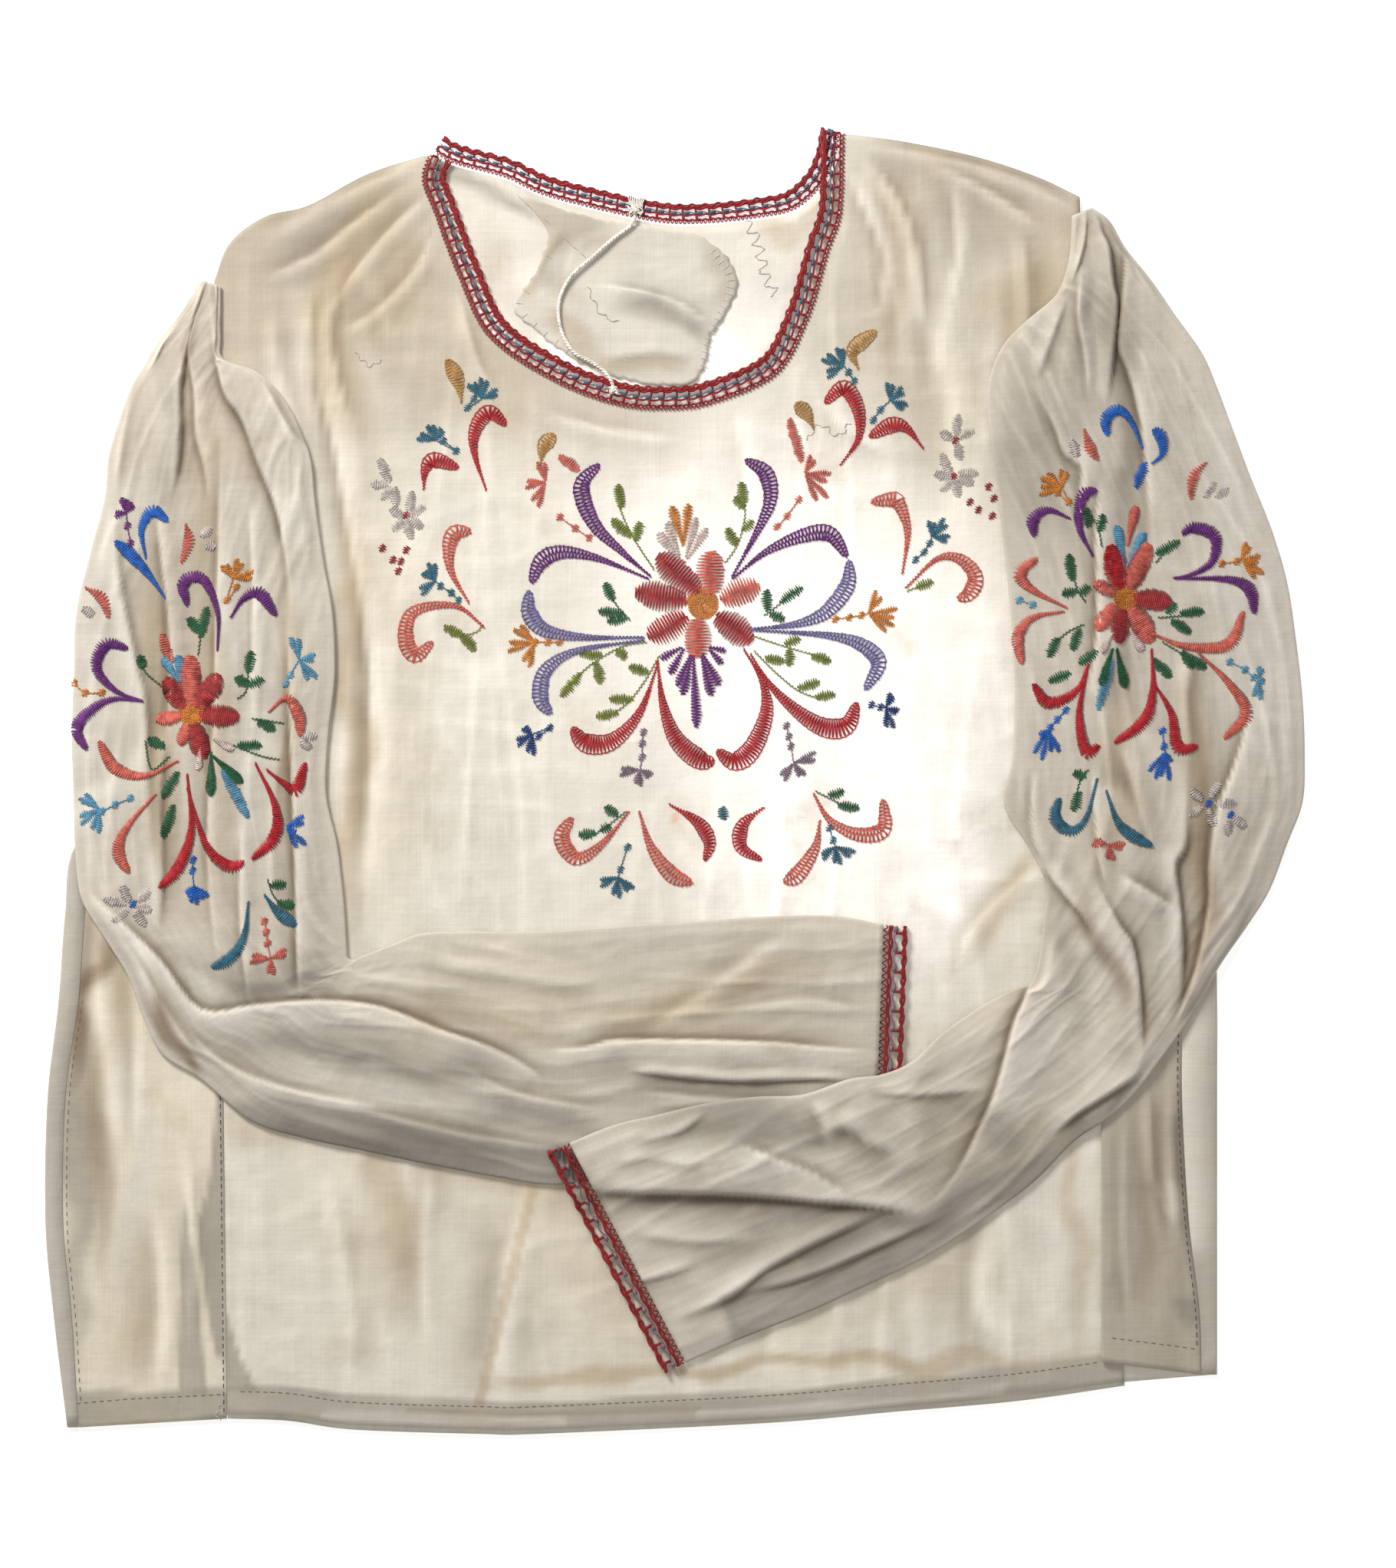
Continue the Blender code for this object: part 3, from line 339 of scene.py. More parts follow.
CHEST_MOTIFS = motif_rows(
    ("scroll", "purple", [-10.9, 93.8, -24, 105, -37, 118, -42.7, 135, -34.7, 145],
     [-11.9, 92.8, -34.7, 102, -51, 105, -61, 101, -65.5, 91],
     [26, 93.8, 37.5, 114.5, 43.4, 129, 41.3, 141, 32.2, 147],
     [26, 92.8, 41.3, 105, 58, 112.4, 70.4, 113.4, 78.4, 103]),
    ("scroll", "lavender", [-14, 66.2, -40.6, 66.2, -59, 69.3, -66.5, 77.4, -66.5, 87.5],
     [-14, 65, -44.8, 60, -59, 51, -61.3, 38.5, -56.7, 31.2],
     [34.3, 70, 54, 72, 68.3, 77.4, 78.4, 89.6, 79.5, 101.2],
     [34.3, 69.5, 68.3, 67.2, 84.7, 63, 92.8, 54.6, 86.8, 42.4]),
    ("broad", "crimson", [-7.7, 54.6, -16, 32.2, -28.4, 19, -40.6, 18, -47, 25],
     [-8, 55.7, -5.6, 36.4, 0.4, 20, 11, 10.5, 18, 9.5],
     [31.2, 61, 39.6, 46.6, 41.7, 32.2, 35.4, 15.8, 27, 9.5, 19, 14.7],
     [34.3, 58.8, 43.4, 44.5, 56, 32.2, 68.3, 25, 78.4, 26, 83, 36.4]),
    ("petal", "rose", [10.9, 87, -8, 103.6], [5.3, 83, -18.2, 86.8], [5.3, 76, -12, 66],
     [18.6, 76, 35, 64.4]),
    ("petal", "coral", [16.5, 86, 16.5, 105.7], [21, 83, 38.2, 90], [10.2, 75, 9.8, 57]),
    ("disc", "gold", [12.6, 81.2]),
    ("lobe", "gold", [3.7, 108, -1.5, 126], [3.7, 108, 6.3, 127]),
    ("lobe", "blush", [1.5, 102, -7.7, 114], [2, 103, -3.6, 119], [5, 103, 9.5, 121],
     [5.5, 102, 14.4, 116]),
    ("lobe", "purple", [3.1, 61.7, -6.4, 56.5], [4, 61, -2.3, 49.6], [7.2, 58.5, 1.2, 44],
     [7.6, 57.6, 3.4, 40], [8.3, 58, 9.8, 25], [12, 58, 16.6, 39.5], [12.6, 58.6, 20, 44.2],
     [15.9, 61.7, 23, 60], [15.4, 61, 21.4, 54]),
    # Green sprigs
    ("stem", "olive", [-9.5, 97, -18, 110, -24, 122, -27, 134],
     [22.8, 100, 28, 107.6, 31.2, 117, 31.9, 125, 30.7, 134], [-13, 64, -24, 62, -38, 54, -50, 43],
     [-7, 58, -14, 46, -22, 36, -32, 29], [35, 67, 50, 62, 64, 58], [36, 60, 46, 50, 56, 42, 66, 38]),
    ("leaf", "olive", [-24.5, 125, -26, 136], [-20, 112, -29, 120], [-18, 110, -16, 119],
     [31.8, 127, 30, 137], [31.6, 125, 27.4, 130.4], [31, 114.6, 35.4, 119.6], [28, 108, 23.6, 116],
     [-43, 50, -52, 39], [-33, 58, -44, 59], [-36, 55, -34, 45], [-27, 60, -22, 57], [-12, 50, -21, 53],
     [-19, 38, -30, 38], [-26, 32, -36, 30], [50, 63, 57, 66], [52, 61, 52, 53], [62, 58, 71, 55],
     [41, 57, 50, 55], [56, 43, 66, 46], [64, 39, 73, 40]),
    ("stem", "forest", [-20.3, 73.9, -26, 80, -31, 88], [40.6, 76, 46, 80, 53, 86]),
    ("leaf", "forest", [-28, 83, -32, 91], [-23, 77, -35, 78], [-22, 75, -31, 73.5], [42, 78, 42, 88],
     [48, 82, 58, 89], [43, 77, 50, 74]),
    # Florets with their strings of dots
    ("floret", "gold", [-64, 64, -76, 62, -72, 71, -68, 54], [88, 77, 93, 86, 100.5, 77, 98, 70]),
    ("dots", "gold", [-64, 64, -58, 64, -52.5, 64], [73, 74.5, 79.5, 75.3, 85, 76.3]),
    ("floret", "navy", [-65, 22, -69, 25, -72, 18, -66, 13], [96, 34, 99, 40, 101.5, 32, 98, 25]),
    ("dots", "navy", [-62.3, 21, -57, 25], [89.6, 35.4, 93.8, 34.3]),
    ("floret", "mauve", [-16, 6, -25, 5, -17, -1, -11, 3], [54, 9, 49, 2, 58, 3, 64, 12]),
    ("dots", "mauve", [-14.4, 23, -15, 17.9, -15, 11.6], [50.8, 25.9, 51.8, 21, 52.9, 16.5]),
    ("floret", "teal", [-109, 92, -111, 100, -114.5, 96, -116, 87],
     [117, 112, 117, 119, 123.5, 119, 124.6, 111], [-109, 156, -117, 158, -111.6, 163, -106, 161],
     [-88, 175, -93, 182, -87, 184, -81, 178], [77, 190, 75, 198, 68, 194, 69, 186],
     [98, 174, 98, 182, 104, 179, 105, 171], [-26, -43, -34, -46, -27, -52, -20, -49],
     [73, -29, 67, -34, 74, -37, 81, -33]),
    ("dots", "teal", [-107, 89.6, -102, 86.5, -98.7, 83], [116, 109, 113.4, 105, 109.6, 101.5],
     [-105.7, 155.8, -99.8, 151.2], [-91.7, 175, -94.5, 170.8], [79, 187, 81.6, 183],
     [93.5, 169.8, 90.3, 165.2], [-21.7, -29.4, -24.9, -39.6], [70.4, -20.7, 72, -26.3]),
    ("leaf", "teal", [21.5, -11, 22.5, -17]),
    ("floret", "coral", [-59, 137, -61, 146, -68, 136, -64, 127], [59, 141, 63, 148, 70, 139, 67, 129]),
    ("dots", "coral", [-52.5, 121, -45.5, 115.9, -39.2, 111.7], [56.4, 129, 51, 121.5, 46.6, 116.6]),
    ("leaf", "coral", [-53, 149, -43.8, 142], [52, 166, 57.8, 146]),
    # Outer scrolls
    ("scroll", "coral", [-93.8, 81.6, -102, 96, -103, 108, -100, 114, -93, 114.5],
     [-86.8, 70.7, -100, 80.5, -118.7, 78.4, -123, 67.2, -118.7, 57.8, -110.6, 64],
     [103.6, 95, 106, 114.5, 102, 127, 99, 129, 89.6, 127.8],
     [105, 88.6, 119.4, 101.9, 130, 101.9, 136.9, 93.8, 134, 86, 128.8, 83.7]),
    ("leaf", "olive", [-105.4, 71, -97, 67], [-98, 68, -91, 60], [117.6, 91.7, 110, 89]),
    ("stem", "olive", [-97, 66, -90, 69, -87.9, 71.8], [113, 90, 105.7, 87.2]),
    ("satin", "crimson", [-86, 133, -91.4, 150, -91, 161, -84.7, 168.7, -77, 163],
     [-114.5, 133.4, -114, 142, -110, 147, -98.7, 143.5],
     [75.3, 144.5, 83.7, 157, 83.5, 170, 77, 180, 68.3, 172.9],
     [113.4, 152, 106, 161, 99, 163, 88.6, 157.5]),
    ("satin", "ochre", [-97.3, 173, -99, 183, -104, 192.9], [-61.3, 145, -60, 153, -55, 158.9],
     [83.7, 188.3, 81, 197, 91.7, 206], [63.4, 161, 60, 168, 55, 173]),
    # White flowers with red dots
    ("petal_small", "white", [-130, 137, -135, 148], [-131, 136, -138.6, 135.8], [-129, 135, -134, 129],
     [-128, 135, -127, 126], [-121, 122, -120, 133], [-121, 122, -114, 126], [-122, 121, -115, 116],
     [-123, 120, -120, 111], [-124, 120, -129, 115], [-124, 121, -130, 125], [128, 158, 129, 168],
     [129, 157, 136, 161], [127, 156, 121, 160], [128, 155, 130, 147], [126, 140, 121, 150],
     [126, 139, 118, 141], [127, 138, 121, 133], [128, 138, 129, 130], [129, 139, 136, 136],
     [129, 141, 138, 141]),
    ("knots", "garnet",
     [-122.5, 121.8, -133.4, 106.8, -128.5, 101.5, -122.5, 106, -125, 100.8, -126, 96.3],
     [127.8, 155.8, 127, 139.3, 143, 134.8, 145.3, 129.5, 134.4, 127.8, 138.3, 124.3, 144.6, 121.5]),
    # Lower group
    ("scroll", "coral", [-21, -13, -32.6, -27.3, -44.8, -34.7, -51.8, -25.2, -47, -16],
     [-16.5, -13, -10.9, -29.4, -1.8, -41.7, 7.7, -45.9],
     [63, -4.9, 70.4, -17, 82.6, -23.5, 94.9, -21.4, 94.9, -7.7],
     [66, -17, 64, -29.4, 56, -41.7, 49.7, -45.5]),
    ("crescent", "crimson", [-2.8, -9.8, 10.5, -18.2, 15.8, -27.3, 13.6, -35.7],
     [40.6, -11.2, 31, -19, 30, -29.4, 39.6, -35.4]),
    ("stem", "forest", [-22, -13, -34, -22, -42, -26], [64, -4, 72, -8, 82, -13]),
    ("leaf", "forest", [-26, -15, -32, -11], [-34, -22, -29, -20], [-36, -23, -44, -24], [70, -6, 77, -4],
     [74, -10, 84, -12]),
)

LEFT_SLEEVE_MOTIFS = motif_rows(
    ("petal", "coral", [-220.5, 35, -220.7, 58], [-224.4, 30.4, -236.5, 28.7], [-222, 27, -225, 17]),
    ("petal", "rose", [-218, 34, -207, 49], [-223.4, 34, -232.4, 47.5], [-216.6, 31, -198.4, 29.6],
     [-219, 27, -214.5, 11]),
    ("disc", "gold", [-220, 31.5]),
    ("lobe", "sky", [-225, 46, -226, 58], [-226, 46, -233, 57]),
    ("leaf", "coral", [-229, 54, -234, 68]),
    ("lobe", "blush", [-216, 16, -217, 6], [-210, 20, -201, 15]),
    ("scroll", "purple", [-242, 37, -255, 42, -263.5, 52.5, -259, 63, -249, 61],
     [-242, 37, -256, 38, -266, 33, -273, 24.5, -268, 15],
     [-208, 60, -208, 78, -215, 93, -224, 91, -222, 80.5], [-202, 75, -196, 84, -189, 86, -181.5, 76]),
    ("floret", "purple", [-250, 123, -255, 122, -251, 129.5, -247, 127]),
    ("dots", "purple", [-249.5, 117, -248, 109]),
    ("scroll", "blue", [-241, 102, -243, 115.5, -238, 124, -231, 119],
     [-232, 84, -240, 95, -248, 104, -255, 110]),
    ("crescent", "coral", [-223, 118, -221.5, 110, -225, 100], [-269, 89, -261, 84, -258, 75]),
    ("scroll", "coral", [-226, 10, -241.5, 3, -255.5, 7, -262.5, 19],
     [-236, -5, -250, -21, -253.5, -31.5, -248.5, -41], [-185, 32, -177, 38.5, -171.5, 31.5, -170, 21]),
    ("scroll", "crimson", [-222, 4, -220, -21, -226, -38.5, -234.5, -48],
     [-222, -2, -213.5, -28, -203, -38, -196, -36], [-191, 9, -182, -10.5, -182, -24.5, -192.5, -35],
     [-186, 6, -177, -1, -172, -3, -168, 9]),
    ("stem", "forest", [-217, 58, -216, 66, -214, 76], [-234, 44, -241, 50, -243, 56],
     [-199, 38, -195, 42, -194, 52], [-192.5, 29, -185, 28, -178, 27], [-201, 17, -188, 12, -180, 10.5],
     [-230, 12, -238, 6, -241, 19], [-185.5, -44, -182, -52.5, -175, -57]),
    ("leaf", "forest", [-216, 68, -222, 75], [-216, 66, -213, 80], [-242, 52, -244, 58],
     [-194, 50, -193, 60], [-194, 44, -200, 48], [-194, 44, -187, 47], [-190, 28, -182, 24],
     [-199, 17, -188, 17], [-232, 16, -240, 20], [-226, 5, -233, -7], [-228, -10, -233, -25],
     [-184, -47, -177, -46], [-181, -55, -173, -56]),
    ("lobe", "forest", [-211, 14, -211, -6], [-210, 12, -197, 0]),
    ("leaf", "sky", [-206, 6, -194, -16]),
    ("floret", "gold", [-201, 93, -205, 99, -198, 101, -192, 94.5]),
    ("dots", "gold", [-199.5, 89, -203.7, 83], [-274, 45.5, -268.8, 41, -261, 41]),
    ("floret", "sky", [-171, 56, -173, 66, -164, 57, -165, 47],
     [-262, -12, -270, -6, -271, -17, -264, -22]),
    ("dots", "sky", [-175, 49, -177, 45], [-247.8, -7, -254.8, -10, -260.8, -13]),
    ("floret", "blue", [-177, -20, -168.7, -16.8, -173, -22.8, -170, -29],
     [-219, -47, -222, -51, -219, -55, -213.5, -52.5]),
    ("dots", "blue", [-219.5, -35, -219.5, -40]),
    ("scroll", "teal", [-194, -54, -196, -70, -203, -80.5, -211, -84],
     [-187, -51, -180, -59.5, -172, -65]),
    ("dots", "coral", [-187, -63, -186, -68, -185.5, -73]),
    ("floret", "coral", [-184, -80, -193, -80, -184, -87, -177, -77]),
    ("petal_small", "white", [-248, -54, -252, -47], [-245, -54, -239, -48.5], [-245, -57, -238, -58],
     [-246, -59, -241, -65], [-249, -58, -256, -63], [-250, -55, -260, -53], [-170, 22, -163, 21],
     [-170, 20, -166, 15], [-216, 112, -211, 116], [-214, 108, -209, 107], [-270, 80, -265, 76]),
    ("knots", "blue", [-246.7, -55.3]),
)

RIGHT_SLEEVE_MOTIFS = motif_rows(
    ("petal", "crimson", [202.8, 88, 198, 108]),
    ("petal", "coral", [206.6, 88, 215.6, 109], [200, 85.6, 190.6, 91], [207.4, 80, 217.2, 64],
     [200.4, 81, 191.6, 69.4]),
    ("petal", "rose", [208.6, 84.2, 226, 82], [203.6, 79, 202, 63.4]),
    ("disc", "gold", [205, 84]),
    ("lobe", "sky", [204.5, 98, 201, 117], [205.5, 98, 214, 114]),
    ("lobe", "coral", [206, 108, 210, 126]),
    ("lobe", "blush", [207, 70, 213, 60], [199, 68, 194, 59]),
    ("scroll", "blue", [213, 152, 208, 164, 202, 170, 196, 165, 197, 158],
     [217, 145, 222, 150, 221, 158, 217, 160]),
    ("leaf", "blue", [214, 146, 210, 134]),
    ("scroll", "purple", [180, 120, 170, 124, 163, 120, 163.5, 112],
     [190, 103, 184, 116, 185, 130, 192, 133], [227, 93, 236, 95, 245, 101, 246, 112, 236, 116, 231, 113],
     [227, 93, 252, 92.5, 262, 88, 264, 77]),
    ("crescent", "coral", [186, 161, 189, 152, 192.5, 147], [242, 146, 236, 139, 235, 129]),
    ("scroll", "coral", [178.5, 79.5, 163, 87.5, 157, 95, 165, 102],
     [177, 78, 163, 75, 156, 66.5, 158, 54], [217, 68, 233, 62, 252, 63, 259, 78],
     [238, 59.5, 252, 45.5, 260, 31.5, 250, 20]),
    ("scroll", "crimson", [188, 54, 183, 42, 170, 36, 163, 45], [188, 54, 184, 31.5, 187, 14, 193, 17],
     [217, 61, 217.7, 42, 213.5, 28, 200, 18], [218, 45.5, 226, 31.5, 229, 16, 238, 16.5]),
    ("floret", "gold", [176, 134, 168, 140, 177, 142, 166, 133],
     [258, 102, 261, 108.5, 266, 101.5, 266, 94]),
    ("dots", "gold", [174, 132, 179, 127.8], [249, 99.8, 256, 100.8]),
    ("floret", "blue", [170, 24, 166, 21, 165, 12, 173, 14], [223, 14, 225, 9.5, 217, 3.5, 223, 2]),
    ("dots", "blue", [177.8, 33, 174, 28.7, 170.8, 25], [222, 23.5, 222.6, 16.5]),
    ("dots", "sky", [156.8, 83, 162.8, 81], [252.7, 55, 259.7, 51.5, 263.5, 48]),
    ("floret", "sky", [266, 48, 267, 52.5, 268, 45.5, 265, 38.5]),
    ("leaf", "sky", [199, 56, 192.5, 33]),
    ("stem", "forest", [187, 124, 192, 117, 194, 107], [219, 100, 222, 104, 224, 108],
     [180, 100, 183, 88, 187, 82], [186, 72, 178, 68, 172, 62], [220, 75, 231, 76, 236, 77],
     [222, 64, 232, 58, 238, 54], [188, 6, 184, 0, 182, -10]),
    ("leaf", "forest", [188, 116, 187, 125], [193, 114, 195, 122], [219, 104, 230, 110],
     [181, 92, 179, 104], [183, 87, 176, 86], [184, 86, 189, 89], [184, 70, 181, 60], [174, 66, 170, 57],
     [192, 60, 184, 54], [180, 50, 170, 46], [230, 77, 241, 78], [226, 74, 235, 68], [224, 77, 228, 82],
     [231, 60, 236, 52], [234, 57, 242, 52], [218, 56, 226, 48], [187, 3, 181, 4], [184, -4, 181, -13]),
    ("lobe", "forest", [199, 61, 194, 44], [201, 61, 205, 43]),
    ("scroll", "teal", [192, 2, 187, -16, 180, -22, 173, -16, 175, -7],
     [196, -3.5, 201, -17.5, 208, -24, 217, -29]),
    ("floret", "coral", [197, -28, 190, -27, 198, -35, 204, -29]),
    ("petal_small", "white", [244, -7, 248, 0], [246, -10, 255, -9], [243, -12, 245, -20],
     [240, -11, 234, -15], [240, -8, 235, -3], [254, -16, 260, -20], [252, -17, 251, -24],
     [180, 156, 183, 148], [241, 130, 246, 137], [246, 130, 252, 134]),
    ("knots", "blue", [243, -9.5, 253, -14.7]),
)

# Thread colours, as display colours
THREADS = {
    "crimson": (0.72, 0.05, 0.12), "garnet": (0.56, 0.03, 0.09), "cherry": (0.55, 0.02, 0.06),
    "rose": (0.66, 0.17, 0.18), "coral": (0.82, 0.40, 0.34), "blush": (0.84, 0.76, 0.73),
    "purple": (0.41, 0.13, 0.46), "lavender": (0.46, 0.42, 0.63), "olive": (0.45, 0.50, 0.14),
    "forest": (0.07, 0.36, 0.20), "teal": (0.18, 0.41, 0.50), "blue": (0.08, 0.38, 0.74),
    "navy": (0.06, 0.22, 0.47), "gold": (0.82, 0.50, 0.16), "sky": (0.36, 0.61, 0.74),
    "mauve": (0.52, 0.44, 0.50), "ochre": (0.74, 0.55, 0.29), "white": (0.80, 0.755, 0.735),
    "cotton": (0.95, 0.92, 0.87), "ash": (0.30, 0.35, 0.43), "slate": (0.30, 0.31, 0.36),
    "flax": (0.52, 0.46, 0.38),
}
# Tones laid on the cloth: its own colours, and the colours of its painted glow, painted shade and painted
# highlights
TONES = {
    # Painted glow, the light that would come through the cloth from below
    "painted_glow": (0.930, 0.905, 0.875),
    "cream": (0.765, 0.738, 0.684),
    "warm": (0.765, 0.728, 0.655),
    "sand": (0.650, 0.606, 0.540),
    "tan": (0.650, 0.585, 0.485),
    "taupe": (0.742, 0.706, 0.652),
    "dusk": (0.630, 0.590, 0.530),
    "linen": (0.765, 0.738, 0.690),
    "grey": (0.565, 0.536, 0.488),
    "slate": (0.430, 0.408, 0.375),
    "umber": (0.470, 0.388, 0.300),
    "rust": (0.800, 0.480, 0.340),
}


def linear(colour):
    """A display colour as the shaders take it."""
    return tuple(v / 12.92 if v <= 0.04045 else ((v + 0.055) / 1.055) ** 2.4 for v in colour)


def smooth_line(points, count):
    """Even points along a soft curve through the given ones."""
    fine = soft_rows(points, 16)
    run = run_along(fine[:, :2])
    wanted = np.linspace(0, run[-1], count)
    return np.column_stack([np.interp(wanted, run, column) for column in fine.T])


def soft_rows(table, steps):
    """Rows between the given ones, on a curve that passes through every one of them."""
    table = np.array(table, float)
    ends = np.vstack([2 * table[0] - table[1], table, 2 * table[-1] - table[-2]])
    t = np.linspace(0, 1, steps, endpoint=False)[:, None]
    found = []
    for index in range(len(table) - 1):
        a, b, c, d = ends[index:index + 4]
        bend = (2 * a - 5 * b + 4 * c - d) * t ** 2 + (3 * b - a - 3 * c + d) * t ** 3
        found.append(0.5 * (2 * b + (c - a) * t + bend))
    return np.vstack([*found, table[-1:]])


def run_along(line):
    """How far each point of a line lies from its start, measured along it."""
    return np.concatenate([[0], np.cumsum(np.linalg.norm(np.diff(line, axis=0), axis=1))])


def edge_shares(edge):
    """How far along the edge each of its points lies, from 0 to 1."""
    run = run_along(edge)
    return run / run[-1]


def at_shares(line, shares):
    even = edge_shares(line)
    return np.column_stack([np.interp(shares, even, column) for column in line.T])


def smoothstep(low, high, value):
    t = np.clip((value - low) / (high - low), 0, 1)
    return t * t * (3 - 2 * t)


def between_ends(low, high, share):
    """Falls from 1 to 0 towards both ends of a share that goes from 0 to 1."""
    return smoothstep(low, high, share) * smoothstep(low, high, 1 - share)


def path_distance(x, y, path):
    """Distance from each place to a path, the side it lies on and its share of the way along."""
    here = np.stack([x, y], axis=-1)
    path = np.array(path, float)
    best = np.full(x.shape, np.inf)
    side = np.zeros(x.shape)
    share = np.zeros(x.shape)
    for index, start in enumerate(path[:-1]):
        run = path[index + 1] - start
        along = np.clip(((here - start) @ run) / (run @ run), 0, 1)
        offset = here - start - along[..., None] * run
        distance = np.linalg.norm(offset, axis=-1)
        closer = distance < best
        best = np.where(closer, distance, best)
        side = np.where(closer, run[0] * offset[..., 1] - run[1] * offset[..., 0], side)
        share = np.where(closer, (index + along) / (len(path) - 1), share)
    return best, side, share


def near_fold(x, y, fold):
    return path_distance(x, y, soft_rows(fold.path, 4))


def fold_height(x, y, folds, scale=1.0):
    """How far the folds lift the cloth: the highest one counts in full, the others a little."""
    best = np.zeros(x.shape)
    total = np.zeros(x.shape)
    for fold in folds:
        distance, side, share = near_fold(x, y, fold)
        away = np.clip(distance / np.where(side > 0, fold.left, fold.right), 0, 1)
        lift = 0.25 * (1 + np.cos(math.pi * away)) + 0.5 * (1 - away) ** 1.8
        lift *= fold.height * between_ends(-0.05, 0.3, share)
        best = np.maximum(best, lift)
        total += lift
    return scale * (best + 0.25 * (total - best))


def fold_shadow(x, y, folds):
    """How dark the painted shade is, from 0 to 1, at the foot of each fold's steep side."""
    dark = np.zeros(x.shape)
    for fold in folds:
        distance, side, share = near_fold(x, y, fold)
        steep = min(fold.left, fold.right)
        is_steep = (side > 0) == (fold.left < fold.right)
        foot = smoothstep(0.1 * steep, 0.7 * steep, distance)
        foot *= 1 - 0.6 * smoothstep(0.9 * steep, 1.8 * steep + 1.5, distance)
        foot *= 1 - smoothstep(1.5 * steep, 1.5 * steep + 11, distance)
        foot *= between_ends(-0.02, 0.25, share) * min(fold.height / 2.4, 1)
        dark = np.maximum(dark, is_steep * foot)
    return dark


def drift(x, y, size, seed):
    """Smooth unevenness from about -1 to 1, with waves about this size across."""
    random = np.random.default_rng(seed)
    total = np.zeros(np.shape(x))
    for angle, phase, pace in random.uniform((0, 0, 0.5), (math.pi, 2 * math.pi, 1.6), (7, 3)):
        along = x * math.cos(angle) + y * math.sin(angle)
        total += np.sin(2 * math.pi * pace * along / size + phase)
    return total / 3.5


def wrinkles(across, along, width, length, seed):
    """Height from 0 to 1 of fine creases that run along, about this far apart and this long."""
    u, v = across / width, along / length
    ridge = np.clip(1 - 1.5 * np.abs(drift(u, v, 2.2, seed)), 0, 1) ** 1.5
    fine = np.clip(1 - 1.7 * np.abs(drift(u, v, 1.1, seed + 1)), 0, 1) ** 1.5
    strength = 0.65 + 0.45 * drift(u, v, 4.0, seed + 2)
    return np.clip(strength, 0.1, 1) * (0.7 * ridge + 0.3 * fine)


def layer_cover(x, y, outline, soft):
    """How much of a layer under the cloth, shown as painted shade, lies at each place, from 0 to 1."""
    closed = np.array([*outline, outline[0]], float)
    distance, _, _ = path_distance(x, y, closed)
    inside = np.zeros(x.shape, bool)
    for start, stop in zip(closed[:-1], closed[1:]):
        spans = (start[1] > y) != (stop[1] > y)
        rise = stop[1] - start[1] if stop[1] != start[1] else 1.0
        inside ^= spans & (x < start[0] + (y - start[1]) / rise * (stop[0] - start[0]))
    return smoothstep(-soft, soft, np.where(inside, distance, -distance))


def paint(x, y, base, shades):
    """The cloth's colour at each place, painted light included: the base tone with each shade laid over it,
    softly uneven.
    """
    colour = np.empty((*x.shape, 3))
    colour[:] = linear(TONES[base])
    loose = [
        value + 4.5 * drift(x, y, 60, seed) + 0.9 * drift(x, y, 24, seed + 1)
        for value, seed in ((x, 5), (y, 7))
    ]
    for shade in shades:
        if shade.width is None:
            cover = layer_cover(x, y, shade.path, shade.soft)
        else:
            is_band = shade.soft < 2.5
            distance, _, share = path_distance(*((x, y) if is_band else loose), shade.path)
            full = shade.width if is_band else 0.4 * shade.width
            cover = 1 - smoothstep(full, shade.width + shade.soft, distance)
            if not is_band:
                cover *= between_ends(-0.12, 0.3, share)
        colour += shade.strength * cover[..., None] * (np.array(linear(TONES[shade.tone])) - colour)
    return colour


def hollows(z, reach):
    """How far each point of a lattice lies below the cloth around it, in millimetres."""
    around = z
    for _ in range(reach):
        padded = np.pad(around, 1, mode="edge")
        around = (padded[:-2, 1:-1] + padded[2:, 1:-1] + padded[1:-1, :-2] + padded[1:-1, 2:]) / 4
    return around - z


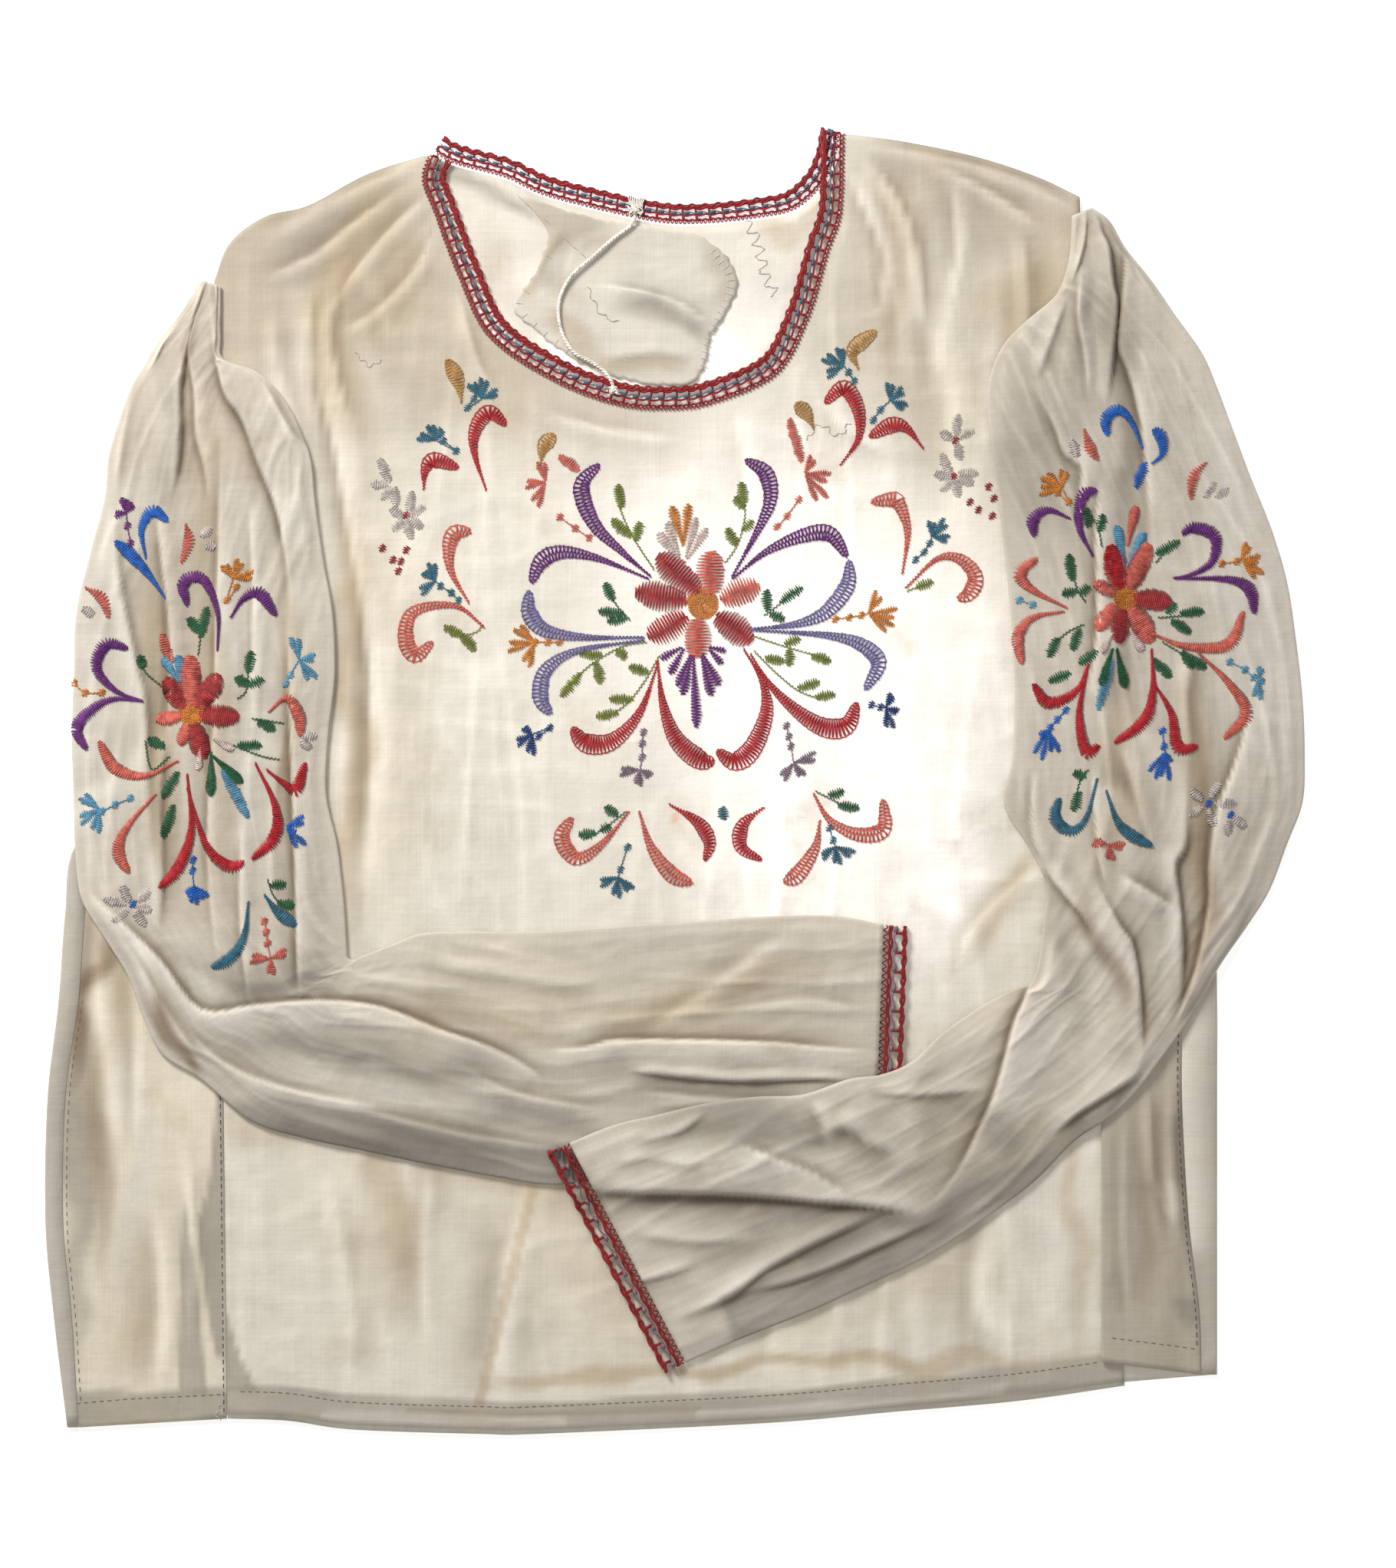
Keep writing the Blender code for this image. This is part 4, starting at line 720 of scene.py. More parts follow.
class Pile:
    """Height of the cloth laid so far, on a square grid, in millimetres."""

    STEP = 2.0
    HALF = 310.0

    def __init__(self):
        count = int(2 * self.HALF / self.STEP) + 1
        self.heights = np.zeros((count, count))

    def lay(self, piece):
        """Adds a finished piece to the pile."""
        graph = bpy.context.evaluated_depsgraph_get()
        tree = BVHTree.FromObject(piece, graph)
        corners = np.array([tuple(corner) for corner in piece.evaluated_get(graph).bound_box]) / MM
        low = ((corners.min(axis=0)[:2] + self.HALF) / self.STEP).astype(int)
        high = ((corners.max(axis=0)[:2] + self.HALF) / self.STEP).astype(int) + 1
        down = Vector((0, 0, -1))
        for i in range(low[0], high[0] + 1):
            for j in range(low[1], high[1] + 1):
                place = Vector((i * self.STEP - self.HALF, j * self.STEP - self.HALF, 100)) * MM
                hit = tree.ray_cast(place, down)[0]
                if hit is not None:
                    self.heights[i, j] = max(self.heights[i, j], hit.z / MM)

    def settled(self, reach):
        """The surface on which the next cloth lies: no lower than the pile, and soft at its steps."""
        cells = max(1, int(round(reach / self.STEP)))
        grid = self.heights
        for axis in (0, 1):
            grid = np.max([np.roll(grid, step, axis) for step in range(-cells, cells + 1)], axis=0)
        for _ in range(2):
            for axis in (0, 1):
                half = max(1, cells // 2)
                grid = np.mean([np.roll(grid, step, axis) for step in range(-half, half + 1)], axis=0)
        return grid

    def read(self, grid, x, y):
        """A settled surface's height at each place."""
        u = np.clip((x + self.HALF) / self.STEP, 0, len(grid) - 1.001)
        v = np.clip((y + self.HALF) / self.STEP, 0, len(grid) - 1.001)
        i, j = u.astype(int), v.astype(int)
        s, t = u - i, v - j
        near = grid[i, j] * (1 - t) + grid[i, j + 1] * t
        far = grid[i + 1, j] * (1 - t) + grid[i + 1, j + 1] * t
        return near * (1 - s) + far * s


PILE = Pile()


def grid_faces(rows, columns, first=0):
    index = first + np.arange(rows * columns).reshape(rows, columns)
    return np.stack([index[:-1, :-1], index[:-1, 1:], index[1:, 1:], index[1:, :-1]], -1).reshape(-1, 4)


def add_object(name, data):
    piece = bpy.data.objects.new(name, data)
    bpy.context.scene.collection.objects.link(piece)
    return piece


def finish_cloth(mesh, tones, weave, material, wall):
    """UV map, tone, material and wall for a cloth mesh."""
    mesh.validate()
    layer = mesh.uv_layers.new(name="weave")
    corners = np.empty(len(mesh.loops), int)
    mesh.loops.foreach_get("vertex_index", corners)
    layer.data.foreach_set("uv", (np.asarray(weave)[corners] * MM).astype(np.float32).ravel())
    # The tone holds the cloth's own colours with its painted glow, painted shade and painted highlights
    colours = mesh.color_attributes.new("tone", "FLOAT_COLOR", "POINT")
    colours.data.foreach_set("color", np.column_stack([tones, np.ones(len(tones))]).ravel())
    if sum(polygon.normal.z for polygon in mesh.polygons) < 0:
        mesh.flip_normals()
    mesh.shade_smooth()
    mesh.materials.append(material)
    piece = add_object(mesh.name, mesh)
    thickness = piece.modifiers.new("thickness", "SOLIDIFY")
    thickness.thickness = wall
    thickness.offset = 0
    return piece


def cloth_piece(name, points, faces, tones, weave, material, wall):
    """A thin wall of cloth whose middle surface has these points, with its tone and weave direction."""
    mesh = bpy.data.meshes.new(name)
    mesh.from_pydata((np.asarray(points) * MM).tolist(), [], np.asarray(faces).tolist())
    return finish_cloth(mesh, tones, weave, material, wall)


def dress(piece, node):
    """The piece stands for a solid of the frame, whose part it hides."""
    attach(piece, "root")
    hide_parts(node)


def lay_sheet(piece, node):
    dress(piece, node)
    return piece


def fill(tree, node, **values):
    """Gives a node's named inputs their values or links."""
    for label, value in values.items():
        put(tree, node.inputs[label.replace("_", " ")], value)


def add_node(tree, kind, settings=(), **values):
    """A new node, with its settings made and its inputs filled."""
    node = tree.nodes.new(kind)
    for key, value in dict(settings).items():
        setattr(node, key, value)
    fill(tree, node, **values)
    return node


def math_node(tree, operation, *values, kind="ShaderNodeMath", **more):
    """The result of a math node, whose inputs are filled in order and by name."""
    node = add_node(tree, kind, {"operation": operation}, **more)
    for socket, value in zip(node.inputs, values):
        put(tree, socket, value)
    return node.outputs[0]


def noise_node(tree, vector, scale, detail=2.0, roughness=0.5, stretch=None):
    """Soft noise, drawn out along one way where stretch is given."""
    if stretch is not None:
        vector = add_node(tree, "ShaderNodeMapping", Scale=stretch, Vector=vector).outputs["Vector"]
    noise = add_node(
        tree, "ShaderNodeTexNoise", Scale=scale, Detail=detail, Roughness=roughness, Vector=vector)
    return noise.outputs["Fac"]


def bump_node(tree, height, strength, depth, **more):
    """The normal of a relief this deep, in millimetres."""
    bump = add_node(tree, "ShaderNodeBump", Height=height, Strength=strength, Distance=depth * MM, **more)
    return bump.outputs["Normal"]


def plain_weave_group():
    """Over and under threads of a plain weave, with its thick and thin threads."""
    tree, give, end = node_group(
        "Shader", "plain_weave", {"Vector": "Vector", "Threads a metre": 1500.0}, ("Height", "Slubs"))
    split = add_node(tree, "ShaderNodeSeparateXYZ", Vector=give["Vector"]).outputs
    turn = math_node(tree, "MULTIPLY", give["Threads a metre"], math.pi)
    waves = [math_node(tree, "SINE", math_node(tree, "MULTIPLY", split[way], turn)) for way in "XY"]
    woven = math_node(tree, "MULTIPLY_ADD", math_node(tree, "MULTIPLY", *waves), 0.5, 0.5)
    warp = noise_node(tree, give["Vector"], 1.0, 1.0, 0.5, (1100.0, 28.0, 1.0))
    weft = noise_node(tree, give["Vector"], 1.0, 1.0, 0.5, (28.0, 1100.0, 1.0))
    slubs = math_node(tree, "MULTIPLY", math_node(tree, "ADD", warp, weft), 0.5)
    fill(tree, end, Height=math_node(tree, "MULTIPLY_ADD", slubs, 0.8, woven), Slubs=slubs)
    return tree


def wear_group():
    """Clouds, faint brown stains and the creases of old cloth that has lain folded."""
    tree, give, end = node_group(
        "Shader", "old_cloth", {"Place": "Vector", "Weave": "Vector", "Stains": 0.5},
        ("Cloud", "Stain", "Rumple"))
    place = give["Place"]
    spread = add_node(
        tree, "ShaderNodeMapRange", {"interpolation_type": "SMOOTHSTEP"}, From_Min=0.54, From_Max=0.76,
        Value=noise_node(tree, place, 22.0, 5.0, 0.6))
    long = crest_node(tree, noise_node(tree, give["Weave"], 1.0, 2.0, 0.5, (34.0, 9.0, 1.0)))
    cross = crest_node(tree, noise_node(tree, give["Weave"], 1.0, 2.0, 0.5, (14.0, 34.0, 1.0)))
    creases = math_node(tree, "MULTIPLY_ADD", cross, 0.35, long)
    soft = math_node(tree, "MULTIPLY", noise_node(tree, place, 60.0, 3.0), 0.9)
    rumple = math_node(tree, "MULTIPLY_ADD", noise_node(tree, place, 300.0), 0.10, soft)
    fill(
        tree, end, Cloud=noise_node(tree, place, 17.0, 5.0, 0.6),
        Stain=math_node(tree, "MULTIPLY", spread.outputs["Result"], give["Stains"]),
        Rumple=math_node(tree, "MULTIPLY_ADD", creases, 0.22, rumple))
    return tree


def crest_node(tree, value):
    """Turns soft noise into narrow crests, where it passes its middle value."""
    away = math_node(tree, "ABSOLUTE", math_node(tree, "SUBTRACT", value, 0.5))
    crest = math_node(tree, "SUBTRACT", 1.0, math_node(tree, "MULTIPLY", away, 7.0))
    return math_node(tree, "SMOOTH_MAX", crest, 0.0, 0.2)


def shared_group(name, maker):
    """A node group, built the first time that it is asked for."""
    return bpy.data.node_groups.get(name) or maker()


def place_group(tree, name, maker, **values):
    """A shader group placed in a tree: what it gives."""
    group = shared_group(name, maker)
    return add_node(tree, "ShaderNodeGroup", {"node_tree": group}, **values).outputs


def new_material(name, **values):
    """A material, its tree and its shader, with these values set on the shader."""
    material = bpy.data.materials.new(name)
    material.use_nodes = True
    shader = material.node_tree.nodes["Principled BSDF"]
    fill(material.node_tree, shader, **values)
    return material, material.node_tree, shader


def cotton_material(name, sizes, painted_glow):
    """Thin cotton: its tone comes from the piece, with weave, slubs, clouds and stains over it.

    Painted glow: the cloth gives off its own tone as light, in place of the light that comes through it from
    below, as on the light table of the photograph.
    """
    material, tree, shader = new_material(
        name, Roughness=0.9, Specular_IOR_Level=0.25, Sheen_Weight=0.12, Sheen_Roughness=0.6,
        Emission_Strength=painted_glow)
    along = add_node(tree, "ShaderNodeUVMap", {"uv_map": "weave"}).outputs["UV"]
    place = add_node(tree, "ShaderNodeTexCoord").outputs["Object"]
    tone = add_node(tree, "ShaderNodeVertexColor", {"layer_name": "tone"}).outputs["Color"]
    weave = place_group(tree, "plain_weave", plain_weave_group, Vector=along)
    wear = place_group(tree, "old_cloth", wear_group, Stains=sizes.stains, Place=place, Weave=along)
    lightness = math_node(tree, "MULTIPLY_ADD", wear["Cloud"], 0.42, 0.66)
    lightness = math_node(tree, "MULTIPLY_ADD", weave["Slubs"], 0.28, lightness)
    stained = add_node(
        tree, "ShaderNodeMix", {"data_type": "RGBA"}, Factor=wear["Stain"],
        A=vector_math(tree, "SCALE", tone, Scale=lightness), B=(*linear(TONES["tan"]), 1)).outputs["Result"]
    rumpled = bump_node(tree, wear["Rumple"], sizes.rumple, 2.2)
    woven = bump_node(tree, weave["Height"], sizes.weave, 0.1, Normal=rumpled)
    # The cotton gives off its own tone as painted glow
    fill(tree, shader, Base_Color=stained, Emission_Color=stained, Normal=woven)
    return material


def top_edge(neck, columns):
    """The upper edge of the front or the back: shoulder, neck, shoulder."""
    line = np.vstack([
        smooth_line(LEFT_SHOULDER, 60), smooth_line(neck, 160)[1:-1], smooth_line(RIGHT_SHOULDER, 60),
    ])
    line[:, 0] = np.maximum.accumulate(line[:, 0]) + 0.002 * np.arange(len(line))
    return at_shares(line, np.linspace(0, 1, columns))


def armhole_x(y, sign):
    """Where the side edge of the front and the back lies, above the underarm."""
    top, bottom = (LEFT_SHOULDER[0], HEM[0]) if sign < 0 else (RIGHT_SHOULDER[-1], HEM[-1])
    return np.interp(y, [bottom.y, top.y], [bottom.x, top.x])


def side_lines(sign, count):
    """The folded edge and the lip's seam down one side, as even rows of y, edge and seam."""
    side = LEFT_SIDE if sign < 0 else RIGHT_SIDE
    return smooth_line([(row.y, row.edge, row.seam) for row in side], count)


# The front's tones: painted glow on the chest, painted shade and highlights along the folds and the tuck,
# painted shade where the seam allowance and the hem lie under the cloth, tan patches and a rust stain
FRONT_SHADES = rows_of(
    Shade,
    ("warm", 0.8, 30, 70, [-120, -170, -40, -200, 60, -210, 130, -200]),
    ("tan", 0.35, 12, 26, [-150, -190, -128, -214, -120, -250]),
    ("tan", 0.3, 10, 24, [-40, -205, -20, -230, -34, -262]),
    ("tan", 0.3, 8, 22, [40, -225, 90, -230, 150, -215]),
    ("sand", 1, 40, 40, [-128, 290, -160, 262, -186, 232, -184, 200, -176, 170]),
    ("dusk", 0.6, 6, 22, [-112, 280, -140, 262, -166, 238, -190, 222]),
    ("sand", 0.9, 16, 26, [-124, 282, -126, 240, -116, 190, -100, 160]),
    ("linen", 0.7, 8, 14, [-164, 226, -166, 196, -162, 168]),
    ("tan", 0.8, 5, 16, [-121, 275, -150, 246, -160, 214, -156, 180, -140, 150]),
    ("tan", 0.5, 3, 12, [-119, 262, -128, 226, -140, 196]),
    ("grey", 0.35, 3, 10, [-150, 262, -172, 246, -186, 226]),
    ("sand", 0.75, 12, 26, [-96, 216, -80, 186, -50, 166, -16, 156, 24, 156, 52, 170]),
    ("tan", 0.35, 4, 12, [-100, 222, -84, 194, -60, 176]),
    ("sand", 0.8, 22, 30, [78, 290, 112, 284, 150, 270, 184, 250, 180, 216]),
    ("sand", 0.65, 16, 30, [84, 262, 90, 220, 90, 184, 112, 150]),
    ("tan", 0.45, 3, 10, [96, 282, 104, 250, 100, 214, 108, 180]),
    ("grey", 0.3, 3, 9, [124, 278, 138, 256, 150, 240]),
    ("tan", 0.8, 14, 24, [150, 236, 164, 216, 170, 190]),
    ("warm", 0.85, 10, 16, [120, 220, 126, 170, 134, 110, 138, 40]),
    ("taupe", 0.6, 6, 12, [146, 170, 142, 120, 144, 60, 150, 10]),
    ("linen", 0.8, 12, 18, [-176, 180, -174, 90, -176, 0, -178, -60]),
    ("tan", 0.9, 6, 7, [-147, 138, -145, 60, -146, 0, -149, -70]),
    ("umber", 0.3, 2, 4, [-143, 132, -140, 60, -142, 0, -144, -70]),
    ("warm", 0.8, 6, 12, [-132, 150, -128, 60, -132, -20, -134, -76]),
    ("tan", 0.35, 2, 6, [-118, 96, -114, 30, -118, -40]),
    ("painted_glow", 1, 74, 62, [-50, 60, 30, 74, 70, 50, 40, -10, -10, -20]),
    ("painted_glow", 0.9, 10, 22, [100, 40, 118, 0, 126, -50, 112, -86]),
    ("warm", 0.7, 5, 9, [168, -38, 150, -52, 138, -66, 130, -84]),
    ("tan", 0.6, 2, 5, [164, -36, 148, -50, 139, -64, 132, -80]),
    ("tan", 0.7, 10, 22, [-150, -146, -90, -164, -30, -180, 10, -186]),
    ("tan", 0.6, 4, 10, [-146, -160, -126, -196, -118, -230]),
    ("umber", 0.3, 2, 7, [-112, -158, -106, -180, -110, -205]),
    ("tan", 0.7, 1.6, 1.6, [-64, -182, -77, -234, -89, -283]),
    ("cream", 0.7, 8, 12, [-100, -190, -104, -230, -96, -270]),
    ("cream", 0.6, 10, 14, [60, -215, 90, -240, 120, -262]),
    ("linen", 0.75, 8, 10, [158, -160, 170, -200, 172, -262]),
    ("tan", 0.5, 2, 5, [178, -150, 184, -200, 184, -262]),
    ("grey", 0.85, None, 1, [-208, -236, -204, -244, -198, -262, -190, -278, -208, -278]),
    ("grey", 0.8, 6, 0.8, [-204, -282, -176, -283, -147, -287, -88, -290, -63, -290, 42, -285, 99, -280,
     156, -274, 205, -268]),
    ("slate", 0.5, 0.4, 0.7, [-204, -275, -176, -276, -147, -280, -88, -283, -63, -283, 42, -278,
     99, -273, 156, -267, 205, -261]),
    ("slate", 0.6, 0.8, 1.6, [-204, -287, -147, -292, -63, -295, 42, -290, 205, -273]),
    ("linen", 0.45, 0.9, 1.2, [-160, -288, -120, -290, -84, -291, -50, -291]),
    ("linen", 0.45, 0.9, 1.2, [10, -288, 60, -285, 110, -281, 150, -276]),
    ("umber", 0.35, 0.8, 1.6, [-120, -286, -60, -288, 10, -285]),
    ("tan", 0.8, 3, 2.6, [-96, -274, -63, -272, 0, -270, 60, -267, 130, -264, 210, -258]),
    ("rust", 0.55, 1, 3, [-6, -18, -4, -19]),
    ("tan", 0.5, 5, 14, [-206, -150, -180, -158, -150, -160]),
)
# The back's tones: painted glow inside the neck, painted shade along the neck edge, grey down the side lips
BACK_SHADES = rows_of(
    Shade,
    ("painted_glow", 0.9, 34, 20, [-92, 240, -86, 205, -60, 185, 0, 175, 40, 190, 50, 230]),
    ("taupe", 0.8, 5, 12, [-100, 262, -84, 240, -70, 214, -66, 190]),
    ("tan", 0.35, 1.5, 5, [-100, 232, -84, 236, -70, 240]),
    ("grey", 0.75, 3, 3, [-108, 276, -84, 269, -56, 259]),
    ("tan", 0.5, 3, 4, [36, 252, 52, 248, 64, 262]),
    ("grey", 0.6, 6, 2.4, [-268, -28, -273, -60, -276, -100, -282, -144, -283, -200, -279, -245,
     -274.5, -294]),
    ("grey", 0.8, 6, 2.4, [240, -28, 243, -60, 243, -270]),
    ("linen", 0.6, 1.2, 2, [239, -60, 238, -140, 240, -200, 244, -262]),
)
# The patch's tones: painted shade along its folds and under the back's neck edge, and tan lines
PATCH_SHADES = rows_of(
    Shade,
    ("sand", 0.7, 8, 12, [-72, 266, -52, 257, -24, 250]),
    ("grey", 0.7, 2, 6, [-30, 219, -10, 217, 4, 211, 14, 203]),
    ("tan", 0.6, 1.5, 6, [-46, 250, -58, 238, -68, 222]),
    ("tan", 0.6, 1.5, 6, [-40, 190, -16, 192, 4, 189]),
    ("sand", 0.6, 2, 8, [-62, 238, -50, 228, -46, 214]),
    ("tan", 0.6, 2, 7, [-64, 214, -50, 202, -34, 192]),
    ("sand", 0.6, 2, 7, [16, 246, 24, 234, 20, 220]),
)
# The left side panel's tones: painted shade where the seam allowances and the hem lie under the cloth,
# and darker and lighter bands along the lip and the folds
LEFT_SIDE_SHADES = rows_of(
    Shade,
    ("grey", 0.8, 4, 6, [-276, -40, -274, -110, -272, -170, -274, -290]),
    ("umber", 0.85, 3, 5, [-268, -60, -263, -80, -273, -102, -272, -136]),
    ("umber", 0.45, 2, 5, [-262, -120, -264, -170, -260, -230]),
    ("tan", 0.6, 3, 8, [-258, -60, -250, -110, -256, -150]),
    ("tan", 0.5, 3, 8, [-250, -190, -246, -230, -250, -270]),
    ("linen", 0.8, 5, 7, [-250, -110, -246, -170, -248, -240]),
    ("grey", 0.8, None, 1, [-224.7, -184, -219, -220, -213, -278, -226.4, -278]),
    ("grey", 0.85, None, 1, [-209, -138, -205, -138, -205, -264, -209, -262, -212.4, -246, -214.4, -230,
     -216.4, -216, -218, -202, -213, -185, -211.6, -174]),
    ("grey", 0.85, 6, 0.8, [-276, -286, -250, -285, -206, -284]),
    ("slate", 0.5, 0.4, 0.7, [-276, -279, -250, -278, -206, -277]),
)
# The right side panel's tones: painted shade and highlights along its folds, its pinch and the seam
RIGHT_SIDE_SHADES = rows_of(
    Shade,
    ("grey", 0.6, 6, 8, [200, -140, 203, -200, 206, -262]),
    ("umber", 0.35, 3, 6, [213, -150, 212, -200, 216, -240]),
    ("linen", 0.7, 2.5, 4, [221, -178, 225, -195, 228, -204]),
    ("slate", 0.5, 2, 4, [234, -120, 230, -170, 235, -236]),
    ("slate", 0.5, 2, 4, [232, -232, 234, -248]),
    ("linen", 0.5, 3, 4, [243, -150, 244, -200, 243, -262]),
)
# The left sleeve's tones: painted shade in the pleats' valleys, under the forearm's roll and along its edge,
# painted highlights on the roll and the raised pleats, and warm patches on the forearm
LEFT_SLEEVE_SHADES = rows_of(
    Shade,
    ("sand", 0.5, 30, 34, [-234, 180, -238, 120, -236, 60, -230, 0]),
    ("linen", 0.8, 12, 16, [-250, 150, -262, 80, -264, 0, -258, -40]),
    ("linen", 0.85, 16, 16, [-190, 150, -192, 60, -190, -30]),
    ("tan", 0.7, 3, 8, [-246, 110, -238, 60, -234, 0, -230, -60]),
    ("tan", 0.6, 3, 9, [-214, 190, -212, 100, -208, 20, -204, -60]),
    ("tan", 0.6, 2, 6, [-176, 110, -177, 40, -176, -40]),
    ("grey", 0.5, 2, 7, [-226, 200, -232, 160, -236, 120]),
    ("grey", 0.5, 2, 7, [-208, 196, -196, 166, -184, 130]),
    ("grey", 0.5, 4, 12, [-232, -76, -205, -94, -165, -88, -150, -76]),
    ("linen", 1, 4, 7, [-262, -62, -238, -84, -212, -108, -172, -106, -130, -109]),
    ("linen", 0.9, 3, 6, [-60, -124, -20, -121, 40, -122, 80, -125]),
    ("warm", 1, 20, 20, [-130, -88, -70, -94, 0, -96, 80, -92]),
    ("warm", 0.8, 5, 12, [-70, -112, -30, -112, 10, -110]),
    ("tan", 0.5, 3, 10, [-130, -100, -90, -106, -50, -114]),
    ("tan", 0.6, 3, 10, [-40, -112, 0, -108, 44, -92, 66, -76]),
    ("grey", 0.75, 3, 11, [-206, -114, -161, -120, -119, -127, -77, -136]),
    ("grey", 0.65, 3, 10, [-104, -152, -66, -150, -32, -160]),
    ("grey", 0.6, 3, 9, [-30, -136, 10, -140, 60, -146]),
    ("linen", 0.8, 6, 10, [-190, -132, -140, -142, -90, -146]),
    ("slate", 0.9, 3, 12, [-220, -140, -170, -164, -120, -176, -60, -185]),
    ("grey", 0.7, 5, 12, [-170, -150, -110, -164, -60, -172]),
    ("taupe", 0.7, 6, 14, [-60, -74, 0, -71, 60, -68]),
    ("umber", 0.8, 1.2, 4, [-240, -96, -228, -114, -214, -134]),
    ("slate", 0.5, 1, 5, [-214, -96, -196, -98, -176, -97, -158, -88]),
    ("slate", 0.55, None, 4, [-204, -146, -188, -144, -151, -150, -112, -157, -77, -163, -40, -168,
     -40, -192, -77, -188, -112, -180, -151, -172, -190, -166]),
)
# The right sleeve's tones: painted shade in its valleys and under the forearm's roll, painted highlights on
# its outer side and the roll's crests, and warm patches
RIGHT_SLEEVE_SHADES = rows_of(
    Shade,
    ("linen", 0.9, 16, 18, [240, 180, 262, 120, 272, 50, 270, 0]),
    ("grey", 0.6, 12, 14, [168, 190, 160, 150, 166, 110]),
    ("grey", 0.8, 2, 7, [200, 244, 204, 190, 208, 140, 206, 100]),
    ("grey", 0.6, 2, 6, [192, 240, 190, 200, 186, 160]),
    ("tan", 0.6, 3, 9, [202, 60, 204, 0, 196, -40]),
    ("tan", 0.8, 2.5, 8, [237, 60, 232, 30, 237, 0, 240, -60, 234, -100]),
    ("umber", 0.6, 1.5, 6, [206, 0, 218, -40, 228, -80, 232, -112]),
    ("umber", 0.6, 1.5, 6, [184, -44, 196, -80, 208, -112]),
    ("umber", 0.45, 1.5, 6, [236, 20, 244, -30, 242, -80]),
    ("grey", 0.5, 2, 7, [172, -56, 180, -90, 188, -120]),
    ("linen", 0.8, 8, 12, [176, -96, 160, -130, 140, -160]),
    ("linen", 0.8, 3, 7, [214, -20, 224, -60, 226, -100]),
    ("grey", 0.6, 5, 9, [200, -150, 180, -170, 150, -190]),
    ("warm", 0.6, 8, 12, [112, -112, 140, -104, 156, -92]),
    ("linen", 0.95, 8, 12, [-30, -166, 20, -164, 70, -174]),
    ("grey", 0.85, 5, 12, [-10, -150, 30, -150, 60, -158, 100, -166]),
    ("dusk", 0.8, 14, 20, [110, -160, 140, -168, 160, -150]),
    ("grey", 0.6, 2, 7, [116, -142, 140, -150, 152, -166]),
    ("slate", 0.55, 2.5, 8, [-40, -190, 20, -193, 80, -199, 118, -200, 136, -176]),
    ("taupe", 0.9, 14, 16, [-20, -208, 30, -214, 80, -218]),
    ("grey", 0.5, 5, 14, [0, -204, 50, -208, 90, -212]),
    ("linen", 0.6, 5, 10, [14, -240, 50, -228, 100, -212]),
    ("slate", 0.4, 2, 8, [-4, -262, 40, -250, 90, -232, 130, -212]),
    ("slate", 0.5, None, 2.5, [211, -131, 189, -152, 160, -172, 138, -181, 116, -195, 84, -203, 46, -222,
     20, -234, 27, -256, 64, -242, 112, -216, 138, -200, 174, -178, 196, -158]),
)


